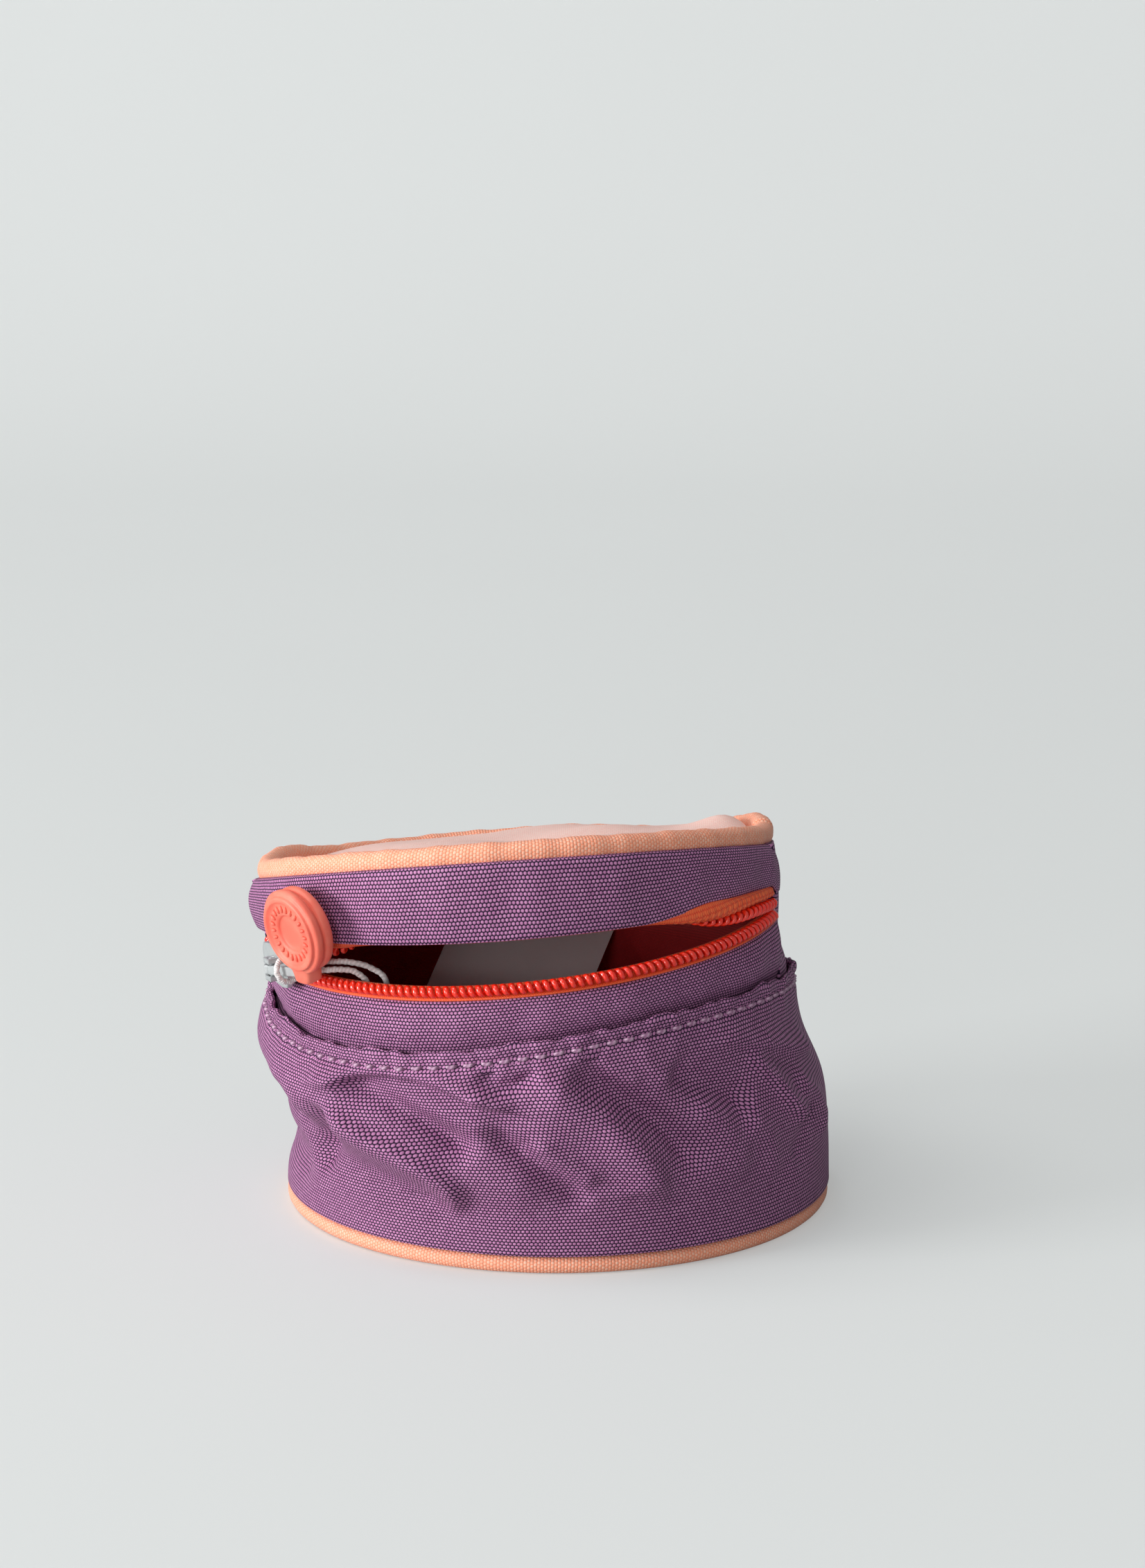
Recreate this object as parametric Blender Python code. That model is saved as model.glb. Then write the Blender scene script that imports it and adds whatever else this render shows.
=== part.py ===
"""Small round zip pouch with a lifted lid, a coil zip round its front half and a rubber pull.

Units are metres, +Z is up and the front faces -Y. The origin is the centre of the base,
on the surface that the pouch stands on. Angles run from +X towards +Y, so the front is 270.
"""

import math

import bpy
import numpy as np
from mathutils import Matrix, Vector

MM = 0.001

# Cloth, gaps and the base
CLEARANCE = 0.3 * MM
WALL_CLOTH = 0.9 * MM
BAND_CLOTH = 0.8 * MM
LINING_CLOTH = 0.5 * MM
PANEL_CLOTH = 0.9 * MM
BASE_RADIUS = 48.5 * MM
BASE_PIPING_RADIUS = 1.5 * MM
STIFFENER_THICKNESS = 1.2 * MM

# The slumped wall: how its middle and its radius change from the base to the stitched fold
WALL_CENTRES = [0.1 * MM, -0.1 * MM, -1.5 * MM, -5.25 * MM, -4.7 * MM]
WALL_SWELL = [0.1 * MM, 0.0 * MM, 0.3 * MM, 0.25 * MM, -1.9 * MM]
FOLD_HEIGHT = 39.65 * MM
FOLD_RISE_RIGHT = 1.75 * MM
FOLD_TWIST = 2.7 * MM
BAND_LAP = 4.0 * MM

# The closed line of the zip is a circle in a plane that rises to the right
ZIP_ABOVE_FOLD = 12.1 * MM
ZIP_HEIGHT = FOLD_HEIGHT + ZIP_ABOVE_FOLD
ZIP_CENTRE = Vector((-5.5 * MM, 0.0, ZIP_HEIGHT))
ZIP_INSET = 2.7 * MM
ZIP_RADIUS = BASE_RADIUS - ZIP_INSET
ZIP_RISE_RIGHT = 0.10
ZIP_RISE_BACK = 0.03
ZIP_START = 188.0
ZIP_END = 341.0
TOOTH_PITCH = 1.41 * MM
COIL_WIDTH = 1.8 * MM
COIL_THICKNESS = 2.2 * MM
TOOTH_REACH = 0.35 * MM
TAPE_THICKNESS = 0.5 * MM
TAPE_LAP = 0.65
TAPE_HOLD = 0.4 * MM
BAND_EDGE = 2.7 * MM
BAND_SWELL = 0.4 * MM
BACK_SWELL = 1.0 * MM
LINING_TOP = 0.4

# The lid: its rim ring, how far the front half is lifted, and how far it opens
LID_CENTRE = -7.5 * MM
LID_OVERHANG = 0.9 * MM
LID_RADIUS = ZIP_RADIUS + LID_OVERHANG
LID_ABOVE_ZIP = 9.95 * MM
LID_HEIGHT = ZIP_HEIGHT + LID_ABOVE_ZIP
LID_RISE = 0.10
LID_FRONT_TILT = 0.224
LID_BACK_DROP = 0.155
LID_LIFT = 7.2
SEAM_LEFT = 180.5
SEAM_RIGHT = 344.0
LID_PIPING_RADIUS = 1.8 * MM
LID_PIPING_INSET = 1.2 * MM
PANEL_PUFF = 2.6 * MM
SIDE_SEAM_GAP = 2.0 * MM
CREASE_GAP = 0.8 * MM
SEAM_TURN = 0.4

# The slider and its pull, in the slider's own frame: along the zip, across it and outwards
SLIDER_ANGLE = 206.0
SLIDER_LENGTH = 10.4 * MM
SLIDER_WIDTH = 7.6 * MM
SLIDER_RISE = 0.5 * MM
PLATE_THICKNESS = 1.0 * MM
PLATE_SHAPE = [(-1.0, 0.45), (-0.86, 0.78), (0.4, 1.0), (0.88, 0.9), (1.0, 0.5)]
POST_SPAN = (0.58, 0.88)
POST_WIDTH = 0.9 * MM
LIP_WIDTH = 0.7 * MM
LIP_DEPTH = 1.2 * MM
LIP_START = 0.8
LOWER_LIP_END = 0.5
UPPER_LIP_END = 0.3
UPPER_LIP_INSET = 0.28 * MM
PIN_RADIUS = 0.45 * MM
PIN_ALONG = 2.5 * MM
PIN_LIFT = 1.6 * MM
LUG_WIDTH = 0.9 * MM
LUG_REACH = 1.15 * MM
LUG_COVER = 0.5 * MM
SINK = 0.15 * MM
LINK_WIDTH = 1.6 * MM
STEM_SHARE = 0.66
GRIP_ANGLE = 222.0
GRIP_OUT = 4.9 * MM
GRIP_RADIUS = 8.25 * MM
GRIP_THICKNESS = 4.8 * MM
GRIP_UP = 9.6 * MM
GRIP_LEAN = 7.0
NECK_LENGTH = 7.6 * MM
NECK_HOLD = 1.0 * MM
NECK_HALF = 2.0 * MM
NECK_COVER = 1.0 * MM
NECK_ROOT = 0.6

# The tag that came with the pouch, and its string
STRING_RADIUS = 0.55 * MM
CARD_WIDTH = 28.0 * MM
CARD_LENGTH = 50.0 * MM
CARD_THICKNESS = 0.5 * MM
CARD_FOOT = Vector((-19.4 * MM, 8.2 * MM, 10.2 * MM))
CARD_HOLE_UP = 5.0 * MM
CARD_HOLE_RADIUS = 1.7 * MM
KNOT_RADIUS = 2.0 * MM

# How finely round pieces are cut
RING_STEPS = 56
HALF_STEPS = 28
PIN_STEPS = 12
LINK_STEPS = 16

COLOURS = {
    "purple": ((0.20, 0.085, 0.16, 1.0), 0.75, 0.0),
    "peach": ((0.87, 0.45, 0.35, 1.0), 0.75, 0.0),
    "coil_red": ((0.78, 0.04, 0.02, 1.0), 0.35, 0.0),
    "lining_red": ((0.16, 0.015, 0.02, 1.0), 0.8, 0.0),
    "rubber_coral": ((0.93, 0.15, 0.10, 1.0), 0.5, 0.0),
    "zinc": ((0.66, 0.67, 0.67, 1.0), 0.35, 1.0),
    "cotton": ((0.80, 0.79, 0.77, 1.0), 0.9, 0.0),
    "card": ((0.78, 0.66, 0.64, 1.0), 0.7, 0.0),
    "board": ((0.70, 0.68, 0.62, 1.0), 0.8, 0.0),
}


def clear_scene():
    for item in list(bpy.data.objects):
        bpy.data.objects.remove(item, do_unlink=True)


def material(name):
    """A Principled material of the named colour, made once."""
    found = bpy.data.materials.get(name)
    if found:
        return found
    colour, roughness, metallic = COLOURS[name]
    made = bpy.data.materials.new(name)
    made.use_nodes = True
    shader = made.node_tree.nodes["Principled BSDF"]
    shader.inputs["Base Color"].default_value = colour
    shader.inputs["Roughness"].default_value = roughness
    shader.inputs["Metallic"].default_value = metallic
    return made


def add_mesh(name, points, faces, colour):
    """An object from points and faces, shaded smooth up to 40 degrees."""
    mesh = bpy.data.meshes.new(name)
    mesh.from_pydata([tuple(map(float, p)) for p in points], [], faces)
    mesh.update()
    mesh.shade_smooth()
    mesh.set_sharp_from_angle(angle=math.radians(40))
    item = bpy.data.objects.new(name, mesh)
    bpy.context.collection.objects.link(item)
    mesh.materials.append(material(colour))
    return item


def thicken(item, thickness):
    """Gives a cloth surface its thickness, on the side away from its normals."""
    solid = item.modifiers.new("Thickness", "SOLIDIFY")
    solid.thickness = thickness
    solid.offset = -1.0
    solid.use_even_offset = True
    return item


def cloth_wall(name, rows, wrapped, thickness, colour):
    """Cloth through rows of points that run round the pouch, the lowest row first."""
    rows = np.asarray(rows)
    count, around = rows.shape[0], rows.shape[1]
    faces = []
    for row in range(count - 1):
        for column in range(around if wrapped else around - 1):
            after = (column + 1) % around
            low, high = row * around, (row + 1) * around
            faces.append((low + column, low + after, high + after, high + column))
    return thicken(add_mesh(name, rows.reshape(-1, 3), faces, colour), thickness)


def cloth_panel(name, middle, rings, wrapped, thickness, colour):
    """Cloth through a middle point and the rings round it, seen from above."""
    rings = np.asarray(rings)
    count, around = rings.shape[0], rings.shape[1]
    points = np.vstack([np.asarray(middle)[None, :], rings.reshape(-1, 3)])
    faces = []
    for column in range(around if wrapped else around - 1):
        after = (column + 1) % around
        faces.append((0, 1 + column, 1 + after))
        for ring in range(count - 1):
            near, far = 1 + ring * around, 1 + (ring + 1) * around
            faces.append((near + column, far + column, far + after, near + after))
    return thicken(add_mesh(name, points, faces, colour), thickness)


def tube(name, points, radius, colour, closed=False, resolution=2):
    """A round cord or bar along the points."""
    curve = bpy.data.curves.new(name, "CURVE")
    curve.dimensions = "3D"
    curve.bevel_depth = radius
    curve.bevel_resolution = resolution
    curve.use_fill_caps = not closed
    spline = curve.splines.new("POLY")
    spline.points.add(len(points) - 1)
    for place, point in zip(spline.points, points):
        place.co = (*map(float, point), 1.0)
    spline.use_cyclic_u = closed
    item = bpy.data.objects.new(name, curve)
    bpy.context.collection.objects.link(item)
    curve.materials.append(material(colour))
    return item


def smooth_curve(points, steps):
    """Points on the Catmull-Rom curve through the given ones, with steps to each span."""
    given = np.asarray([tuple(p) for p in points], float)
    given = np.vstack([2 * given[0] - given[1], given, 2 * given[-1] - given[-2]])
    found = []
    for a, b, c, d in zip(given, given[1:], given[2:], given[3:]):
        for t in np.arange(steps) / steps:
            bend = 2 * a - 5 * b + 4 * c - d
            twist = 3 * b - a - 3 * c + d
            found.append(0.5 * (2 * b + (c - a) * t + bend * t * t + twist * t ** 3))
    found.append(given[-2])
    return np.array(found)


def between(values, share):
    """Smooth value at a share from 0 to 1 along evenly spaced values."""
    values = np.asarray(values, float)
    padded = np.concatenate([[2 * values[0] - values[1]], values, [2 * values[-1] - values[-2]]])
    place = np.clip(share, 0, 1) * (len(values) - 1)
    index = np.minimum(place.astype(int), len(values) - 2)
    t = place - index
    a, b, c, d = (padded[index + k] for k in range(4))
    bend = 2 * a - 5 * b + 4 * c - d
    twist = 3 * b - a - 3 * c + d
    return 0.5 * (2 * b + (c - a) * t + bend * t * t + twist * t ** 3)


def ease(value):
    """Smooth step from 0 to 1."""
    value = np.clip(value, 0, 1)
    return value * value * (3 - 2 * value)


def full_turn():
    return np.arange(RING_STEPS) * 2 * math.pi / RING_STEPS


def arc(start, end, steps):
    return np.radians(np.linspace(start, end, steps + 1))


def stack(x, y, z):
    return np.stack(np.broadcast_arrays(x, y, z), axis=-1).astype(float)


# Where the wall runs

def fold_height(angle):
    """Height of the stitched fold round the pouch: low at the left, highest front right."""
    return FOLD_HEIGHT + FOLD_RISE_RIGHT * np.cos(angle) - FOLD_TWIST * np.sin(2 * angle)


def wall_bottom():
    return 2 * BASE_PIPING_RADIUS + CLEARANCE


# Sag folds: start and end as angle and height share, width in metres, depth in metres
SAG_FOLDS = [
    ((176.0, 0.27), (200.0, 0.24), 5.0 * MM, -3.2 * MM),
    ((212.0, 0.42), (246.0, 0.22), 4.5 * MM, -1.6 * MM),
    ((206.0, 0.70), (262.0, 0.34), 5.0 * MM, 1.5 * MM),
    ((262.0, 0.72), (306.0, 0.30), 6.0 * MM, 1.3 * MM),
    ((282.0, 0.62), (322.0, 0.22), 5.0 * MM, -1.0 * MM),
]


def sag(angle, share):
    """How far the folds stand out: each is a ridge or a valley along a slanting line."""
    reach = np.zeros(np.broadcast(angle, share).shape)
    across = np.degrees(angle) % 360
    for (a0, s0), (a1, s1), width, depth in SAG_FOLDS:
        run = np.array([math.radians(a1 - a0) * BASE_RADIUS, (s1 - s0) * FOLD_HEIGHT])
        x = np.radians(across - a0) * BASE_RADIUS
        y = (share - s0) * FOLD_HEIGHT
        along = np.clip((x * run[0] + y * run[1]) / (run @ run), 0, 1)
        away = (x - along * run[0]) ** 2 + (y - along * run[1]) ** 2
        reach += depth * np.exp(-away / (width * width))
    return reach * np.sin(math.pi * np.clip(share, 0, 1)) ** 0.5


def wall_point(angle, share, inset):
    """A point inset from the wall's outer face, at a share of its height from the base."""
    share = np.broadcast_to(np.asarray(share, float), np.shape(angle))
    low = wall_bottom()
    height = low + share * (fold_height(angle) - low)
    radius = BASE_RADIUS + between(WALL_SWELL, share) + sag(angle, share) - inset
    return stack(between(WALL_CENTRES, share) + radius * np.cos(angle), radius * np.sin(angle), height)


# Where the zip runs

ZIP_NORMAL = Vector((-ZIP_RISE_RIGHT, -ZIP_RISE_BACK, 1.0)).normalized()
ZIP_SIDE = Vector((1.0, 0.0, ZIP_RISE_RIGHT)).normalized()
ZIP_BACK = ZIP_NORMAL.cross(ZIP_SIDE)


def zip_point(angle, across, outwards):
    """A point by its angle round the zip, its way up the tape, and its way outwards."""
    angle = np.asarray(angle, float)[..., None]
    side, back, normal = np.array(ZIP_SIDE), np.array(ZIP_BACK), np.array(ZIP_NORMAL)
    ray = np.cos(angle) * side + np.sin(angle) * back
    across = np.asarray(across, float)[..., None]
    outwards = np.asarray(outwards, float)[..., None]
    return np.array(ZIP_CENTRE) + (ZIP_RADIUS + outwards) * ray + across * normal


def crease_ends():
    """Where the lid's crease meets the two side seams, seen from above."""
    left, right = math.radians(SEAM_LEFT), math.radians(SEAM_RIGHT)
    ways = [np.array([math.cos(a), math.sin(a)]) for a in (left, right)]
    ring = [np.array([LID_CENTRE, 0.0]) + LID_RADIUS * way for way in ways]
    return ring[0], ring[1]


CREASE_LEFT, CREASE_RIGHT = crease_ends()
CREASE_WAY = (CREASE_RIGHT - CREASE_LEFT) / np.linalg.norm(CREASE_RIGHT - CREASE_LEFT)
CREASE_TURN = math.atan2(CREASE_WAY[1], CREASE_WAY[0])


def behind_crease(x, y):
    """Distance behind the crease line, seen from above; negative on the lifted front half."""
    return -(x - CREASE_LEFT[0]) * CREASE_WAY[1] + (y - CREASE_LEFT[1]) * CREASE_WAY[0]


def lid_plane(x, y):
    """Height of the lid's rim ring: the front half is lifted, the back half hangs a little."""
    along = (x - LID_CENTRE) * CREASE_WAY[0] + (y - CREASE_LEFT[1]) * CREASE_WAY[1]
    back = behind_crease(x, y)
    return LID_HEIGHT + LID_RISE * along + np.where(back < 0, -LID_FRONT_TILT * back, -LID_BACK_DROP * back)


HINGE_AXIS = Vector((-CREASE_WAY[0], -CREASE_WAY[1], -LID_RISE)).normalized()
PIPING_HEIGHT = 1.6 * MM


def hinge_point():
    """A point on the lid's crease line, level with the top of the piping."""
    x, y = (CREASE_LEFT + CREASE_RIGHT) / 2
    top = PIPING_HEIGHT + LID_PIPING_RADIUS
    return np.array([x, y, float(lid_plane(x, y)) + top])


def lifted(points):
    """Points of the closed lid, turned about the crease to where the lid rests half open."""
    axis = np.array(HINGE_AXIS)
    turn = math.radians(LID_LIFT)
    way = np.asarray(points) - hinge_point()
    along = (way @ axis)[..., None] * axis
    return hinge_point() + along + (way - along) * math.cos(turn) + np.cross(axis, way) * math.sin(turn)


def lid_ring(angle, inset, rise):
    x = LID_CENTRE + (LID_RADIUS - inset) * np.cos(angle)
    y = (LID_RADIUS - inset) * np.sin(angle)
    return stack(x, y, lid_plane(x, y) + rise)


BAND_FACE = COIL_THICKNESS / 2 - BAND_CLOTH
TAPE_FACE = COIL_THICKNESS / 2 + CLEARANCE
LINING_INSET = BAND_CLOTH + 2 * CLEARANCE + TAPE_THICKNESS


def gusset_point(angle, share, inset):
    """Between the zip's lower edge, share 0, and the stitched fold, share 1, set in by inset."""
    top = zip_point(angle, -BAND_EDGE, -BAND_FACE - inset)
    foot = wall_point(angle, 1.0, WALL_CLOTH + CLEARANCE + inset)
    return top + (foot - top) * np.asarray(share, float)[..., None]


# The pouch below the zip

def base():
    inner = BASE_RADIUS - 2 * BASE_PIPING_RADIUS - CLEARANCE
    turn = full_turn()
    ring = BASE_RADIUS - BASE_PIPING_RADIUS
    piping = stack(ring * np.cos(turn), ring * np.sin(turn), BASE_PIPING_RADIUS)
    tube("base_piping", piping, BASE_PIPING_RADIUS, "peach", closed=True, resolution=1)
    flat_disc("base_panel", inner, 0.0, PANEL_CLOTH, "peach")
    board = PANEL_CLOTH + CLEARANCE
    flat_disc("base_stiffener", inner - CLEARANCE, board, STIFFENER_THICKNESS, "board")
    floor = board + STIFFENER_THICKNESS + CLEARANCE
    flat_disc("lining_base", inner - 2 * CLEARANCE, floor, LINING_CLOTH, "lining_red")


def flat_disc(name, radius, low, thickness, colour):
    """A flat round layer of the base."""
    turn = full_turn()
    ring = stack(radius * np.cos(turn), radius * np.sin(turn), low + thickness)
    cloth_panel(name, (0.0, 0.0, low + thickness), [ring], True, thickness, colour)


def body_wall():
    turn = full_turn()
    shares = np.linspace(0, 1, 9)
    rows = [wall_point(turn, share, 0.0) for share in shares]
    cloth_wall("body_wall", rows, True, WALL_CLOTH, "purple")


def lining_wall():
    """The lining stands inside everything else, from the floor to behind the zip tape."""
    turn = full_turn()
    inset = WALL_CLOTH + CLEARANCE + LINING_INSET
    rows = [wall_point(turn, share, inset) for share in np.linspace(0.04, 1, 6)]
    rows += [gusset_point(turn, np.full_like(turn, LINING_TOP), LINING_INSET)]
    cloth_wall("lining_wall", rows, True, LINING_CLOTH, "lining_red")


def lap_share():
    return 1 - BAND_LAP / (FOLD_HEIGHT - wall_bottom())


def lower_zip_band():
    turn = arc(SEAM_LEFT + SEAM_TURN, SEAM_RIGHT - SEAM_TURN, HALF_STEPS)
    rows = [
        wall_point(turn, lap_share(), WALL_CLOTH + CLEARANCE),
        wall_point(turn, 1.0, WALL_CLOTH + CLEARANCE),
        gusset_point(turn, np.full_like(turn, 0.5), 0.0),
        gusset_point(turn, np.zeros_like(turn), 0.0),
    ]
    cloth_wall("lower_zip_band", rows, False, BAND_CLOTH, "purple")


def lower_zip_tape():
    turn = arc(ZIP_START - 3, ZIP_END + 3, HALF_STEPS)
    inset = BAND_CLOTH + CLEARANCE
    rows = [
        gusset_point(turn, np.full_like(turn, TAPE_LAP), inset),
        gusset_point(turn, np.zeros_like(turn), inset),
        zip_point(turn, np.full_like(turn, -TAPE_HOLD), -TAPE_FACE),
    ]
    cloth_wall("lower_zip_tape", rows, False, TAPE_THICKNESS, "coil_red")


def back_panel():
    """One panel behind the zip, from inside the fold up to the lid's rim."""
    turn = arc(SEAM_RIGHT - 360 + SEAM_TURN, SEAM_LEFT - SEAM_TURN, HALF_STEPS)
    foot = wall_point(turn, 1.0, WALL_CLOTH + CLEARANCE)
    top = lid_ring(turn, 0.0, 0.0)
    out = stack(np.cos(turn), np.sin(turn), 0.0)
    rows = [wall_point(turn, lap_share(), WALL_CLOTH + CLEARANCE), foot]
    rows += [foot + (top - foot) * part + out * BACK_SWELL * math.sin(math.pi * part) for part in (0.33, 0.67)]
    rows += [top]
    cloth_wall("back_panel", rows, False, BAND_CLOTH, "purple")


# The zip

def chain_shift(angle):
    """How the lid's half of the chain leaves the closed line, as up and as sideways parts.

    It follows the lower half up to the slider's tail, parts from it inside the slider, and
    then runs with the lifted lid.
    """
    closed = zip_point(angle, np.zeros_like(angle), np.zeros_like(angle))
    shift = lifted(closed) - closed
    normal = np.array(ZIP_NORMAL)
    up = (shift @ normal)[:, None] * normal
    degrees = np.degrees(angle)
    tail = SLIDER_ANGLE - math.degrees(SLIDER_LENGTH / 2 / ZIP_RADIUS)
    parting = ease((degrees - tail) / 14.0)[:, None]
    drift = ease((degrees - tail - 13.0) / 18.0)[:, None]
    return up * parting + (shift - up) * drift


def coil(name, side, moved):
    """A toothed chain: rings with a bead at every other one, and a tip that meets its pair.

    side is -1 for the lower chain and +1 for the lid's chain. The tips of one sit in the
    dips of the other, a clearance apart.
    """
    length = math.radians(ZIP_END - ZIP_START) * ZIP_RADIUS
    teeth = int(round(length / TOOTH_PITCH))
    angle = arc(ZIP_START, ZIP_END, 2 * teeth)
    bead = np.where(np.arange(len(angle)) % 2 == 0, 1.0, -1.0)
    own = bead * -side
    middle = side * (CLEARANCE / 2 + COIL_WIDTH / 2)
    shift = moved(angle) if moved else 0.0
    rows = []
    for corner in range(6):
        turn = corner * math.pi / 3
        across = middle - side * COIL_WIDTH / 2 * math.cos(turn) + np.zeros_like(angle)
        if corner == 0:
            across = across - side * own * TOOTH_REACH
        half = COIL_THICKNESS / 2 - 0.1 * MM * (1 - own)
        rows.append(zip_point(angle, across, half * math.sin(turn)) + shift)
    rings = np.stack(rows, axis=1)
    around = rings.shape[1]
    faces = []
    for ring in range(len(rings) - 1):
        for corner in range(around):
            after = (corner + 1) % around
            near, far = ring * around, (ring + 1) * around
            faces.append((near + corner, far + corner, far + after, near + after))
    last = (len(rings) - 1) * around
    faces.append(tuple(range(around)))
    faces.append(tuple(last + corner for corner in reversed(range(around))))
    if side < 0:
        faces = [tuple(reversed(face)) for face in faces]
    return add_mesh(name, rings.reshape(-1, 3), faces, "coil_red")


def zip_chain():
    coil("lower_coil", -1, None)
    coil("upper_coil", 1, chain_shift)


# The lid

def upper_band():
    inset = math.degrees(SIDE_SEAM_GAP / LID_RADIUS)
    turn = arc(SEAM_LEFT + inset, SEAM_RIGHT - inset, HALF_STEPS)
    foot = lifted(zip_point(turn, np.full_like(turn, BAND_EDGE), -BAND_FACE))
    top = lid_ring(turn, 0.0, 0.0)
    out = stack(np.cos(turn), np.sin(turn), 0.0)
    rows = [foot, foot + (top - foot) * 0.5 + out * BAND_SWELL, top]
    cloth_wall("upper_band", rows, False, BAND_CLOTH, "purple")


def upper_zip_tape():
    turn = arc(ZIP_START, ZIP_END, HALF_STEPS)
    inset = BAND_CLOTH + CLEARANCE
    chain = zip_point(turn, np.full_like(turn, TAPE_HOLD), -TAPE_FACE) + chain_shift(turn)
    edge = lifted(zip_point(turn, np.full_like(turn, BAND_EDGE), -BAND_FACE - inset))
    top = lid_ring(turn, inset, 0.0)
    rows = [chain, edge, edge + (top - edge) * 0.5]
    cloth_wall("upper_zip_tape", rows, False, TAPE_THICKNESS, "coil_red")


def half_turn(front, radius, gap):
    """First and last angle of half a ring, where it comes within a gap of the crease."""
    centre_back = behind_crease(LID_CENTRE, 0.0)
    edge = -gap if front else gap
    tilt = math.asin((edge - centre_back) / radius)
    if front:
        return math.pi - tilt + CREASE_TURN, 2 * math.pi + tilt + CREASE_TURN
    return tilt + CREASE_TURN, math.pi - tilt + CREASE_TURN


def half_rings(front, radius, rise, gap, puff):
    """Rings of half a lid panel, from the crease out, crowned away from crease and rim."""
    first, last = half_turn(front, radius, gap)
    turn = np.linspace(first, last, HALF_STEPS // 2 + 1)
    middle = (CREASE_LEFT + CREASE_RIGHT) / 2
    normal = np.array([-CREASE_WAY[1], CREASE_WAY[0]])
    middle = middle + normal * (-gap if front else gap)
    rings = []
    for part in (0.35, 0.7, 1.0):
        x = middle[0] + part * (LID_CENTRE + radius * np.cos(turn) - middle[0])
        y = middle[1] + part * (radius * np.sin(turn) - middle[1])
        crown = puff * (1 - part ** 2) * np.abs(np.sin(turn - CREASE_TURN)) ** 0.7
        rings.append(stack(x, y, lid_plane(x, y) + rise + crown))
    return (middle[0], middle[1], float(lid_plane(middle[0], middle[1])) + rise), rings


def lid_half(front):
    side = "front" if front else "back"
    gap = CREASE_GAP if front else CLEARANCE
    ring = LID_RADIUS - LID_PIPING_INSET - LID_PIPING_RADIUS
    inner = ring - LID_PIPING_RADIUS - CLEARANCE
    middle, rings = half_rings(front, inner, PIPING_HEIGHT, gap, PANEL_PUFF)
    cloth_panel("lid_panel_" + side, middle, rings, False, PANEL_CLOTH, "peach")
    first, last = half_turn(front, ring, gap)
    turn = np.linspace(first, last, HALF_STEPS + 1)
    inset = LID_RADIUS - ring
    tube("lid_piping_" + side, lid_ring(turn, inset, PIPING_HEIGHT), LID_PIPING_RADIUS, "peach", resolution=1)
    floor = PIPING_HEIGHT - LID_PIPING_RADIUS - CLEARANCE
    seam = SIDE_SEAM_GAP if front else CLEARANCE
    radius = LID_RADIUS - BAND_CLOTH - 3 * TAPE_THICKNESS - LID_PIPING_INSET
    middle, rings = half_rings(front, radius, floor, seam, 0.0)
    cloth_panel("lid_lining_" + side, middle, rings, False, LINING_CLOTH, "lining_red")


# The slider

def in_frame(frame, points):
    """Points given along a frame's three ways from its middle."""
    middle, first, second, third = frame
    points = np.atleast_2d(np.asarray(points, float))
    return middle + points[:, :1] * first + points[:, 1:2] * second + points[:, 2:3] * third


def prism(name, frame, outline, low, high, colour):
    """A flat outline in a frame's first two ways, from low to high along its third."""
    count = len(outline)
    points = [(a, b, low) for a, b in outline] + [(a, b, high) for a, b in outline]
    faces = [tuple(reversed(range(count))), tuple(range(count, 2 * count))]
    faces += [(k, (k + 1) % count, (k + 1) % count + count, k + count) for k in range(count)]
    return add_mesh(name, in_frame(frame, points), faces, colour)


def slider_frame():
    """The slider's place on the zip, and its ways along, across and outwards."""
    angle = math.radians(SLIDER_ANGLE)
    place = zip_point(np.array([angle]), np.zeros(1), np.zeros(1))[0]
    out = math.cos(angle) * np.array(ZIP_SIDE) + math.sin(angle) * np.array(ZIP_BACK)
    across = np.array(ZIP_NORMAL)
    along = np.cross(across, out)
    return place, along, across, out


def slab(name, outline, low, high):
    """A flat metal plate of the slider: an outline of along and across, low to high outwards."""
    return prism(name, slider_frame(), outline, low, high, "zinc")


def block_outline(a0, a1, b0, b1):
    return [(a0, b0), (a1, b0), (a1, b1), (a0, b1)]


def join_all(main, others):
    """Welds the other solids to the main one and hides them."""
    for other in others:
        weld = main.modifiers.new("Weld " + other.name, "BOOLEAN")
        weld.operation = "UNION"
        weld.object = other
        other.hide_render = True
        other.display_type = "WIRE"


def cut_out(main, cutter):
    """Takes the cutter's shape out of the main solid and hides the cutter."""
    drill = main.modifiers.new("Cut " + cutter.name, "BOOLEAN")
    drill.operation = "DIFFERENCE"
    drill.object = cutter
    cutter.hide_render = True
    cutter.display_type = "WIRE"


INNER_FACE = TAPE_FACE + TAPE_THICKNESS + 2 * CLEARANCE
OUTER_FACE = COIL_THICKNESS / 2 + 0.5 * MM
PLATE_TOP = OUTER_FACE + PLATE_THICKNESS
PIN_OUT = PLATE_TOP + PIN_LIFT
LUG_GAP = LINK_WIDTH / 2 + CLEARANCE


def plate_outline():
    """The slider's plate: blunt at the tail, broad at the mouth, with rounded corners."""
    half = SLIDER_LENGTH / 2
    wide = SLIDER_WIDTH / 2
    lower = [(a * half, SLIDER_RISE - b * wide) for a, b in PLATE_SHAPE]
    upper = [(a * half, SLIDER_RISE + b * wide) for a, b in reversed(PLATE_SHAPE)]
    return lower + upper


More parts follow.
